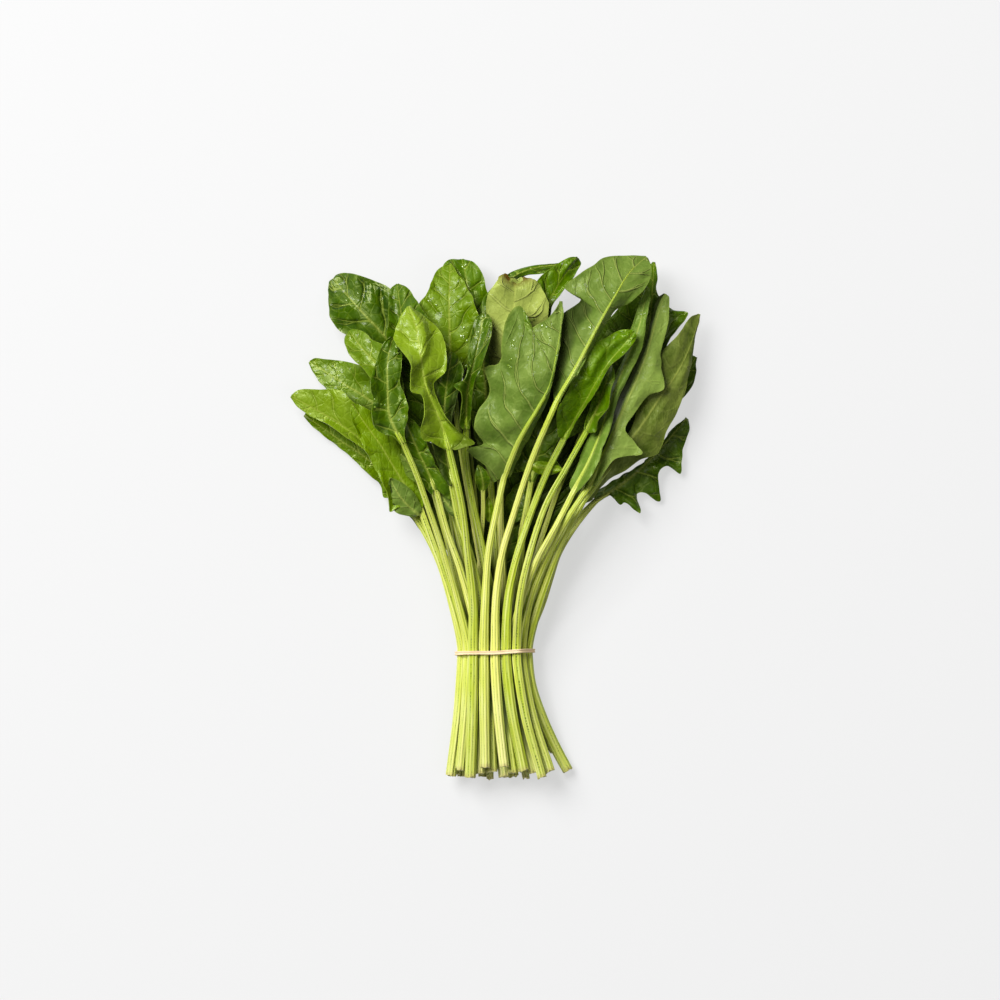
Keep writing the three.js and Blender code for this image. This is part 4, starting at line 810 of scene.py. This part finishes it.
def bladeSurface(number, plan, neckAcross):
    # The blade's middle surface from its solid, as rows by columns, with its plan measures.
    rib = PlanCurve(plan["rib"])
    shares = np.concatenate([[0.004], ribShares(plan, rib), [0.995]])
    centre = rib.at(shares)
    half = stalkShape["neckWidth"] / 2
    tipHalf = rib.across(1.0) * 0.7
    left = np.vstack([centre[0] - neckAcross * half, plan["left"], centre[-1] - tipHalf])
    right = np.vstack([centre[0] + neckAcross * half, plan["right"], centre[-1] + tipHalf])
    tree = nodeTree(f"blade_{number}")
    outs = np.array([-0.985, -0.55, -0.28, 0.0, 0.28, 0.55, 0.985])
    thin = bladeShape["solidThickness"] / 2
    heights = np.full((len(shares), len(outs)), np.nan)
    for k in range(len(shares)):
        for c, out in enumerate(outs):
            side = left[k] if out < 0 else right[k]
            for pull in (1.0, 0.96, 0.9):  # further in, where the solid's edge is missed
                hit = castHeights(tree, *(centre[k] + abs(out) * pull * (side - centre[k])))
                if hit:
                    heights[k, c] = hit[0] + thin if plan["underside"] else hit[1] - thin
                    break
        known = ~np.isnan(heights[k])
        if known.any():
            heights[k] = np.interp(outs, outs[known], heights[k][known])
    known = ~np.isnan(heights[:, len(outs) // 2])
    for c in range(len(outs)):
        heights[:, c] = np.interp(shares, shares[known], heights[known, c])
    rows, columns = bladeShape["rows"], bladeShape["columns"]
    across = signedPower(np.linspace(-1, 1, columns), 1.15)
    c, l, r = (throughRows(values, rows) for values in (centre, left, right))
    sides = np.where((across < 0)[None, :, None], l[:, None], r[:, None])
    planXY = c[:, None] + np.abs(across)[None, :, None] * (sides - c[:, None])
    knots = np.array([-1, *outs[1:-1], 1])
    z = np.stack([np.interp(across, knots, row) for row in throughRows(heights, rows)])
    blur = np.array([1, 4, 6, 4, 1]) / 16
    for _ in range(4):
        padded = np.pad(z, ((0, 0), (2, 2)), mode="reflect", reflect_type="odd")
        z = sum(w * padded[:, i : i + columns] for i, w in enumerate(blur))
    runs = throughRows(shares, rows) * rib.length
    reach = np.abs(across)[None] * np.linalg.norm(sides - c[:, None], axis=2)
    return np.dstack([planXY, z]), across, runs, reach


def bladePiece(name, points, across, runs, values, tone, sides):
    # A sheet from its middle surface, with half its thickness to each side. The first of the named
    # sides is on top.
    uv = np.dstack([values["reach"] * np.sign(across), np.repeat(runs, len(across), 1)])
    piece = shapedGrid(name, points, values | {"edge": np.abs(across)}, uv)
    for side in sides:
        piece.data.materials.append(bladeMaterials[tone, side])
    solidify = piece.modifiers.new("thickness", "SOLIDIFY")
    solidify.thickness = bladeShape["thickness"] * mm
    solidify.offset = 0
    solidify.material_offset = len(sides) - 1
    bpy.ops.object.modifier_apply(modifier="thickness")
    bpy.ops.object.shade_smooth_by_angle(angle=math.radians(60))
    return piece


def makeBlade(index, number, plan, curve):
    points, across, runs, reach = bladeSurface(number, plan, curve.across(1.0))
    columns = len(across)
    underside = plan["underside"]
    sides = ("back", "face") if underside else ("face", "back")
    out = np.abs(across)
    share = (runs / runs[-1])[:, None]

    def noise(name):
        size, seed = bladeShape["noise"][name]
        return softNoise(points, size, index + seed)

    tree = treeWithout(f"stalk_{number}", f"blade_{number}")
    # The share of open sky over the blade, which its material paints as shade.
    sky = coarseOpenness(tree, points + [0, 0, 1.0], 7, 5)
    # Painted shade: the listed parts are darkened further, as if shaded, by taking away part of their open
    # sky.
    for leftDim, rightDim, dimFrom, dimTo in plan["paintedShadeParts"]:
        entered, left = (smoothStep(share, place - 0.1, place + 0.1) for place in (dimFrom, dimTo))
        sideways = np.where(across < 0, leftDim, rightDim) * smoothStep(out, 0.05, 0.6)
        sky = sky * (1 - entered * (1 - left) * sideways[None])
    # Side veins climb towards the tip as they reach out, and the two sides aren't level.
    rng = np.random.default_rng(100 + index)
    spacing = bladeShape["veinSpacing"] * rng.uniform(0.85, 1.2)
    shift = np.where(across < 0, 0.0, bladeShape["veinShift"])[None]
    drift = 0.35 * noise("drift") + 0.2 * noise("wander")
    ahead = bladeShape["climb"][sides[0]] * reach + bladeShape["climbBend"] * reach**2
    steps = np.linalg.norm(np.diff(points[..., :2], axis=0), axis=2)
    columnRun = np.vstack([np.zeros((1, columns)), np.cumsum(steps, axis=0)])
    evenRun = 0.5 * runs[:, None] + 0.5 * columnRun * runs[-1] / columnRun[-1:]
    phase = (evenRun - ahead) / spacing + shift + drift + rng.random()
    # The blade swells between the veins, and its edges are ruffled.
    edgeFade = 1 - 0.6 * smoothStep(out, 0.7, 1.0)[None]
    pucker = (0.5 - 0.5 * np.cos(2 * np.pi * phase)) ** 0.65 * smoothStep(reach, 1.0, 8.0) * edgeFade
    pucker *= 0.8 + 0.5 * noise("pucker")
    facing = bladeShape["undersideCrisp"] if underside else bladeShape["crisp"][plan["tone"]]
    if plan["plain"]:
        facing *= bladeShape["plainPart"]
    billow = bladeShape["billow"] * (bladeShape["undersideBillow"] if underside else 1)
    waves = billow * (noise("billow") * smoothStep(reach, 0.5, 7))
    waves += abs(facing) * bladeShape["lump"] * (noise("lump") * smoothStep(reach, 2, 8))
    waves += bladeShape["ruffle"] * (noise("ruffle") * smoothStep(out, 0.6, 1.0)[None])
    relief = facing * bladeShape["pucker"] * (pucker - 0.5 * smoothStep(reach, 1.0, 8.0)) + waves
    ends = smoothStep(runs, 0, 8)[:, None]
    points[..., 2] += ends * relief
    lean = np.where(across < 0, *plan["lean"]) * smoothStep(out, 0, 1)
    points[..., 2] += np.sin(np.pi * np.clip(share, 0, 1)) * lean[None]
    for fold in plan["folds"]:
        points[..., 2] += foldLift(points[..., :2], fold)
    # The outline is a little uneven, and a torn tip much more.
    edge = out[None] ** 6 * noise("edge")
    stray = bladeShape["uneven"] * (edge * ends * np.sign(across)[None])
    points[..., :2] += stray[..., None] * [[[1, 0.3]]]
    torn = smoothStep(share, 0.9, 0.99) * np.full(columns, float(plan["torn"]))
    rags = np.dstack([softNoise(points, 2.2, seed) for seed in (7, 8)])
    points[..., :2] += bladeShape["tear"] * torn[..., None] * rags
    values = {
        "phase": phase,
        "reach": reach,
        "rib": np.exp(-((reach / (0.8 * (1 - share) + 0.2)) ** 2)),
        "open": sky,
        "tint": plan["tint"],
        "torn": torn,
        "veined": 0.25 if plan["plain"] else 1.0,
    }
    piece = bladePiece(f"leafBlade_{number}", points, across, runs[:, None], values, plan["tone"], sides)
    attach(piece, "root")
    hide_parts(f"blade_{number}")
    "blade_" + plan["tone"]
    return points


def stalkPiece(name, index, rng, line, tree):
    # A ribbed stalk along a line, cut ragged at its foot and drawn to a point at its other end.
    along = np.linspace(0, 1, len(line["z"]))
    angles = np.linspace(0, 2 * np.pi, stalkShape["sides"] + 1)
    twist = stalkShape["twist"]
    turn = rng.uniform(-twist, twist) * line["turn"]
    spin = angles[None] + turn[:, None] + (np.pi if line["flip"] else 0)
    wave = np.cos(stalkShape["ridges"] * spin + rng.uniform(0, 6))
    channel = np.exp(-(((np.mod(spin, 2 * np.pi) - np.pi / 2) / stalkShape["channelWidth"]) ** 2))
    radius = 1 + stalkShape["ridgeDepth"] * (wave - 1) - stalkShape["channel"] * channel
    groove = np.clip(smoothStep(-wave, 0.25, 0.95) * 0.85 + channel * 0.6, 0, 1)
    ringX = 0.5 * line["width"][:, None] * radius * np.cos(angles)
    ringZ = 0.5 * stalkShape["flatness"] * line["width"][:, None] * radius * np.sin(angles)
    points = np.empty((len(along), len(angles), 3))
    points[..., :2] = line["xy"][:, None] + line["right"][:, None] * ringX[..., None]
    points[..., 2] = line["z"][:, None] + ringZ
    centre = np.repeat(points.mean(1, keepdims=True), len(angles), 1)
    # The share of open sky round the stalk, which its material paints as shade.
    sky = coarseOpenness(tree, points + 0.35 * (points - centre) + [0, 0, 0.4], 5, 6)
    # Four rings close the foot and one the far end.
    cap = [centre[0] + (points[0] - centre[0]) * part for part in (0, 0.5, 0.85, 0.97)]
    points = np.concatenate([np.array(cap), points, centre[-1:]])
    sky, leafy, run = (
        np.concatenate([part[:1]] * 4 + [part, part[-1:]])
        for part in (sky, line["leafy"][:, None], along[:, None] * line["length"])
    )
    groove = np.vstack([groove[:1] * part for part in (0, 0.3, 0.6, 1)] + [groove, groove[-1:]])
    points[..., 1] += stalkShape["ragged"] * (np.exp(-run / 1.5) * softNoise(points, 1.1, index))
    values = {
        "along": run * mm,
        "groove": groove,
        # painted shade on the lower side, away from the key lamp
        "paintedShadeSide": smoothStep(-np.sin(angles - 0.5), -0.35, 0.7),
        "open": sky,
        "leafy": leafy,
        "tint": rng.uniform(-1, 1),
    }
    uv = np.dstack(np.meshgrid(angles * 2.6, run))  # 2.6 is half a usual width
    piece = shapedGrid(name, points, values, uv, wrapped=True)
    piece.data.materials.append(stalkFinish)
    bpy.ops.object.shade_smooth_by_angle(angle=math.radians(60))
    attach(piece, "root")
    return piece


def makeStalk(index, number, plan, curve, blade):
    # The stalk and, as its thinning end, the midrib along the blade.
    rng = np.random.default_rng(500 + index)
    shares, heights = stalkHeights(number, curve)
    rib = PlanCurve(plan["rib"])
    ribEnd = stalkShape["midribEnd"]
    length = curve.length + ribEnd * rib.length
    stalkPart = curve.length / length
    along = np.linspace(0, 1, stalkShape["rings"])
    inStalk = along <= stalkPart
    low = along[inStalk] / stalkPart
    high = (along[~inStalk] - stalkPart) / (1 - stalkPart) * ribEnd
    above = np.maximum(low * curve.length - curve.runTo(stalkShape["packed"]), 0)
    narrowing = 1 - np.exp(-above / stalkShape["taper"])
    lowWidth = stalkShape["width"] + (stalkShape["neckWidth"] - stalkShape["width"]) * narrowing
    highShare = high / ribEnd
    highWidth = lowWidth[-1] * (1 - highShare) ** (1.0 if plan["underside"] else 1.4) + 0.5 * highShare
    # Where a leaf lies face up only the midrib's crest shows.
    hidden = plan["plain"] or not plan["underside"]
    sink = (0.4 if hidden else -0.12) * highWidth * smoothStep(high, 0, 0.15)
    middle = blade[:, blade.shape[1] // 2]
    ribRun = runAlong(middle[:, :2])
    ribZ = np.interp(high, ribRun / ribRun[-1], middle[:, 2]) - sink
    line = {
        "xy": np.vstack([curve.at(low), rib.at(high)]),
        "right": np.vstack([curve.across(low), rib.across(high)]),
        "z": smoothAlong(np.concatenate([np.interp(low, shares, heights), ribZ]), 2),
        "width": np.concatenate([lowWidth * rng.uniform(0.94, 1.14), highWidth]),
        "turn": 1 - smoothStep(along, 0.4 * stalkPart, 0.9 * stalkPart),
        "leafy": np.concatenate([0 * low, smoothStep(high, 0.05, 0.6)]) * (1 if hidden else 0.5),
        "length": length,
        "flip": plan["underside"],
    }
    own = [f"stalk_{number}", f"blade_{number}"] if plan["underside"] else [f"stalk_{number}"]
    piece = stalkPiece(f"leafStalk_{number}", index, rng, line, treeWithout(*own))
    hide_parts(f"stalk_{number}")


# Thin stalks of young leaves, deeper in the bunch, as x, y and height from the cut end upwards.
youngStalk = {
    "rings": 66,
    "width": (4.4, 2.4),
    "paths": (
        ((-2.8, -72.4, 5), (-3.4, -36.5, 9), (-3.1, 0, 19), (-8.5, 29.6, 20), (-8.5, 57, 19),
            (-6.8, 77.5, 22), (-6.8, 92.3, 29)),
        ((17.7, -71.8, 4), (12, -36.5, 8), (8.5, 0, 17), (16, 26.2, 15), (22.2, 52.4, 13),
            (29.6, 74.1, 12), (35.9, 92.3, 13), (43.9, 110.6, 16), (49.6, 125.4, 19), (53, 133, 21.2)),
        ((33.1, -57, 4), (22.2, -30.8, 6), (16.5, 0, 9), (21.7, 13.7, 8), (27.4, 27.9, 7),
            (31.9, 42.2, 7), (36.5, 55.9, 8), (44.5, 69.5, 10), (55.3, 83.2, 12), (64.4, 92.3, 13.2)),
        ((-19.4, -70.7, 4), (-17.1, -36.5, 7), (-13.1, 0, 12), (-17.7, 29.6, 10), (-22.2, 60.4, 8),
            (-26.2, 83.8, 8)),
    ),
}


def makeYoungStalks():
    tree = treeWithout()
    along = np.linspace(0, 1, youngStalk["rings"])
    first, last = youngStalk["width"]
    for index, path in enumerate(youngStalk["paths"]):
        rng = np.random.default_rng(700 + index)
        path = np.array(path)
        curve = PlanCurve(path[:, :2])
        knots = np.array([curve.shareOf(spot) for spot in path[:, :2]])
        line = {
            "xy": curve.at(along),
            "right": curve.across(along),
            "z": smoothAlong(np.interp(along, knots, path[:, 2]), 6),
            "width": first + (last - first) * along,
            "turn": 1 - along,
            "leafy": 0 * along,
            "length": curve.length,
            "flip": False,
        }
        stalkPiece(f"youngStalk_{index + 1}", 40 + index, rng, line, tree)


# Small leaves in the heart of the bunch: foot and tip as x, y and height, width, how far the leaf
# bows to its right, how far its edges curl up, its tone and the side that shows, and its tint.
youngLeaf = {
    "rows": 34,
    "columns": 19,
    "ruffle": 2.2,
    "lobes": 0.16,
    "veinSpacing": 7,
    "leaves": (
        ((-6.8, 91.2, 29), (-9.7, 106.6, 33), 7.4, 1, 1.5, ("dark", ["face"]), -0.3),
        ((-3.4, 74.1, 19), (-4, 88.3, 21), 4.6, 0.5, 1, ("mid", ["face"]), 0.4),
        ((-18.2, 75.2, 28), (-34.2, 96.3, 28), 5.1, -1.5, -2, ("grey", ["back"]), 0.2),
        ((-43.3, 96.9, 25), (-53.6, 112.9, 28), 8.5, 1, -1.5, ("dark", ["back"]), -0.2),
        ((-43.3, 78.1, 21), (-59.8, 99.2, 24), 13.7, -2, -2, ("grey", ["back"]), 0),
        ((20.5, 106.6, 29), (38.2, 104.3, 31), 7.4, 1, -1.5, ("mid", ["face"]), 0.2),
        ((9.7, 74.1, 13), (14.8, 96.9, 14), 14.8, 1.5, 2, ("dark", ["face"]), -0.6),
    ),
}


def makeYoungLeaves():
    tree = treeWithout()
    rows, columns = youngLeaf["rows"], youngLeaf["columns"]
    along = np.linspace(0, 1, rows)[:, None]
    across = np.linspace(-1, 1, columns)[None]
    for index, (foot, tip, width, bow, curl, look, tint) in enumerate(youngLeaf["leaves"]):
        foot, tip = np.array(foot, float), np.array(tip, float)
        length = np.linalg.norm((tip - foot)[:2])
        right = np.array([(tip - foot)[1], -(tip - foot)[0], 0]) / length
        centre = foot + (tip - foot) * along + bow * np.sin(np.pi * along) * right
        half = width / 2 * (np.sin(np.pi * along**0.85) ** 0.75 + 0.12 * (1 - along))
        points = centre[:, None] + (half * across)[..., None] * right
        uneven = half * signedPower(across, 3) * softNoise(points, 3.5, index + 200)
        points += (uneven * youngLeaf["lobes"])[..., None] * right
        points[..., 2] += np.sin(np.pi * along) * (curl * across**2 + 1.5)
        ruffle = youngLeaf["ruffle"] * softNoise(points, 6, index + 220)
        points[..., 2] += ruffle * smoothStep(np.abs(across), 0.1, 1)
        points[..., 2] += 0.5 * softNoise(points, 2.5, index + 240)
        # The share of open sky over the leaf, which its material paints as shade.
        sky = openness(tree, points[::3, ::3] + [0, 0, 1.0])
        reach = half * np.abs(across)
        values = {
            "phase": along * length / youngLeaf["veinSpacing"] - reach / 9 + np.where(across < 0, 0, 0.4),
            "reach": reach,
            "rib": np.exp(-((reach / (0.6 * (1 - along) + 0.15)) ** 2)),
            "open": np.repeat(np.repeat(sky, 3, 0), 3, 1)[:rows, :columns],
            "tint": tint,
            "torn": 0.0,
            "veined": 0.4,
        }
        piece = bladePiece(f"youngLeaf_{index + 1}", points, across[0], along * length, values, *look)
        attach(piece, "root")


dropShape = {
    "radius": (0.5, 1.35),  # from the smallest to the largest
    "height": 0.42,
    "color": "6f8a28",
    "segments": 12,
    "rings": 8,
    "clusters": (  # leaf, middle of the cluster, how far it reaches each way, and how many drops
        (12, (-17, 181), (3, 6), 7),
        (12, (-17, 163), (2.5, 8), 6),
        (12, (-35, 199), (2.5, 3), 4),
        (8, (-20, 220), (4, 1.5), 4),
        (22, (-9, 183), (3, 9), 6),
        (28, (10.5, 177), (1.6, 3), 4),
        (28, (8, 165), (1.2, 5), 5),
        (28, (18.5, 166), (1, 2), 2),
        (28, (30, 178), (5, 10), 6),
        (16, (21, 188), (1.5, 1.5), 2),
        (27, (53, 185), (2, 2), 3),
        (27, (70, 210), (12, 10), 4),
        (20, (-55.5, 169), (1.2, 6), 5),
        (20, (-66, 148), (6, 9), 5),
        (2, (-81, 203), (6, 3), 4),
        (26, (69, 176), (6, 6), 6),
        (6, (-90, 138), (9, 7), 5),
        (24, (84, 196), (2, 10), 4),
    ),
}


def makeDrop(points, spot, rng):
    # A flat drop on a blade, at the grid point nearest to a spot in plan.
    edge = 2  # rows and columns that are left out, so that the slope can be read
    away = np.linalg.norm(points[edge:-edge, edge:-edge, :2] - spot, axis=2)
    row, column = (int(i) + edge for i in np.unravel_index(away.argmin(), away.shape))
    forward = Vector(points[row + edge, column] - points[row - edge, column])
    sideways = Vector(points[row, column + edge] - points[row, column - edge])
    up = sideways.cross(forward).normalized()
    up = up if up.z > 0 else -up
    smallest, largest = dropShape["radius"]
    radius = smallest + (largest - smallest) * rng.random() ** 2
    size = Vector((radius * rng.uniform(0.6, 1.0), radius, radius * dropShape["height"]))
    turn = up.to_track_quat("Z", "Y")
    lift = Vector(points[row, column]) + up * (bladeShape["thickness"] / 2)
    bpy.ops.object.select_all(action="DESELECT")
    bpy.ops.mesh.primitive_uv_sphere_add(
        segments=dropShape["segments"], ring_count=dropShape["rings"], radius=1
    )
    drop = bpy.context.object
    for vertex in drop.data.vertices:
        vertex.co = (lift + turn @ (vertex.co * size)) * mm
    return drop


def makeDrops(blades):
    fixed = {"Base Color": fromHex(dropShape["color"]), "Roughness": 0.06, "Specular IOR Level": 1.0}
    rng = np.random.default_rng(77)
    drops = []
    for leaf, middle, spread, count in dropShape["clusters"]:
        for _ in range(count):
            spot = np.array(middle) + rng.uniform(-1, 1, 2) * spread
            drops.append(makeDrop(blades[leaf - 1], spot, rng))
    bpy.ops.object.select_all(action="DESELECT")
    for drop in drops:
        drop.select_set(True)
    bpy.context.view_layer.objects.active = drops[0]
    bpy.ops.object.join()
    piece = bpy.context.object
    piece.name = "waterDrops"
    piece.data.materials.append(Shader("clearWater", fixed).material)
    bpy.ops.object.shade_smooth()
    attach(piece, "root")


bandShape = {
    "steps": 160,
    "section": 24,
    "width": 2.2,
    "thickness": 1.0,
    "crease": 0.45,  # depth of the line along its middle
    "creaseWidth": 0.25,
    "sway": 0.25,
    "tilt": 0.035,
}


def makeBand():
    # A loop whose path is read from the outside of the band's solid.
    tree = nodeTree("rubber_band")
    low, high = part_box("rubber_band")
    middle = Vector((0, 0, (low.z + high.z) / 2))
    turns = np.linspace(0, 2 * np.pi, bandShape["steps"] + 1)
    outer = []
    for turn in turns:
        away = Vector((math.cos(turn), 0, math.sin(turn)))
        hit = tree.ray_cast(middle + away * 0.2, -away)[0]  # from well outside the band
        outer.append([hit.x / mm, hit.z / mm])
    outer = np.array(outer)
    tangent = np.gradient(outer, axis=0)
    tangent[0] = tangent[-1] = outer[1] - outer[-2]
    tangent /= np.linalg.norm(tangent, axis=1, keepdims=True)
    normal = np.stack([tangent[:, 1], -tangent[:, 0]], 1)
    # The section has a rounded edge and nearly flat sides.
    section = np.linspace(0, 2 * np.pi, bandShape["section"] + 1)
    halfDepth = bandShape["thickness"] / 2
    across = bandShape["width"] / 2 * signedPower(np.cos(section), 0.35)
    depth = halfDepth * signedPower(np.sin(section), 0.6)
    crease = -bandShape["crease"] * np.exp(-((across / bandShape["creaseWidth"]) ** 2)) * (depth > 0)
    inward = (halfDepth - depth - crease)[None]
    points = np.empty((len(turns), len(section), 3))
    points[..., 0] = outer[:, None, 0] - normal[:, None, 0] * inward
    points[..., 2] = outer[:, None, 1] - normal[:, None, 1] * inward
    sway = bandShape["sway"] * np.sin(3 * turns)[:, None]
    points[..., 1] = across[None] + sway + bandShape["tilt"] * outer[:, :1]
    uv = np.dstack(np.meshgrid(section, turns * 20))
    piece = shapedGrid("rubberBand", points, {}, uv, wrapped=True)
    piece.data.materials.append(bandMaterial())
    bpy.ops.object.shade_smooth_by_angle(angle=math.radians(60))
    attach(piece, "root")
    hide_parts("rubber_band")


studio = {
    "pixel": 0.57 * mm,  # what one pixel of the render covers on the surface
    "pixels": 1000,
    "centre": (2.85 * mm, 86.6 * mm),
    "distance": 12.0,
    "sensor": 36,
    "aim": Vector((0, 0.09, 0)),  # what both lights point at
    "keyPlace": (-1.5, 1.6, 2.6),
    "keySize": 2.0,
    "keyPower": 180.0,
    "fillPlace": (1.0, -0.4, 2.2),
    "fillSize": 1.4,
    "fillPower": 6.0,
    "sky": 0.1,
    "tableSize": 8,
    "tableColor": 0.257,
    "tableGlow": 0.58,
}


def makeStudio():
    bpy.ops.object.select_all(action="DESELECT")
    bpy.ops.mesh.primitive_plane_add(size=studio["tableSize"], location=(0, 0, 0))
    floor = bpy.context.object
    floor.name = "floor"
    fixed = {
        "Base Color": (studio["tableColor"],) * 3,
        "Emission Color": (1.0, 1.0, 1.0),
        "Emission Strength": studio["tableGlow"],
        "Roughness": 0.9,
        "Specular IOR Level": 0.1,
    }
    floor.data.materials.append(Shader("paleFloor", fixed).material)
    for name in ("key", "fill"):
        bpy.ops.object.light_add(type="AREA", location=studio[name + "Place"])
        light = bpy.context.object
        light.name = name + "Light"
        light.data.size = studio[name + "Size"]
        light.data.energy = studio[name + "Power"]
        light.rotation_euler = (studio["aim"] - light.location).to_track_quat("-Z", "Y").to_euler()
    world = bpy.data.worlds.new("softSky")
    bpy.context.scene.world = world
    world.use_nodes = True
    world.node_tree.nodes["Background"].inputs["Color"].default_value = (1, 1, 1, 1)
    world.node_tree.nodes["Background"].inputs["Strength"].default_value = studio["sky"]
    bpy.ops.object.camera_add(location=(*studio["centre"], studio["distance"]), rotation=(0, 0, 0))
    camera = bpy.context.object
    camera.data.sensor_width = studio["sensor"]
    camera.data.lens = studio["sensor"] * studio["distance"] / (studio["pixels"] * studio["pixel"])
    camera.data.clip_end = 50
    bpy.context.scene.camera = camera
    bpy.context.scene.view_settings.view_transform = "Standard"


bladeMaterials = {
    (tone, side): bladeMaterial(tone, side)
    for tone in ("dark", "mid", "light", "olive", "grey")
    for side in ("face", "back")
}
stalkFinish = stalkMaterial()
print("materials made:", len(bladeMaterials) + 1)
blades = []
for index, plan in enumerate(leafPlans):
    plan = usualLeaf | plan
    number = f"{index + 1:02d}"
    curve = stalkCurve(number, plan)
    blades.append(makeBlade(index, number, plan, curve))
    makeStalk(index, number, plan, curve, blades[-1])
print("leaves made:", len(blades))
makeYoungStalks()
makeYoungLeaves()
print("young stalks and leaves made")
makeDrops(blades)
print("drops made")
makeBand()
print("band made")
makeStudio()
print("studio made")
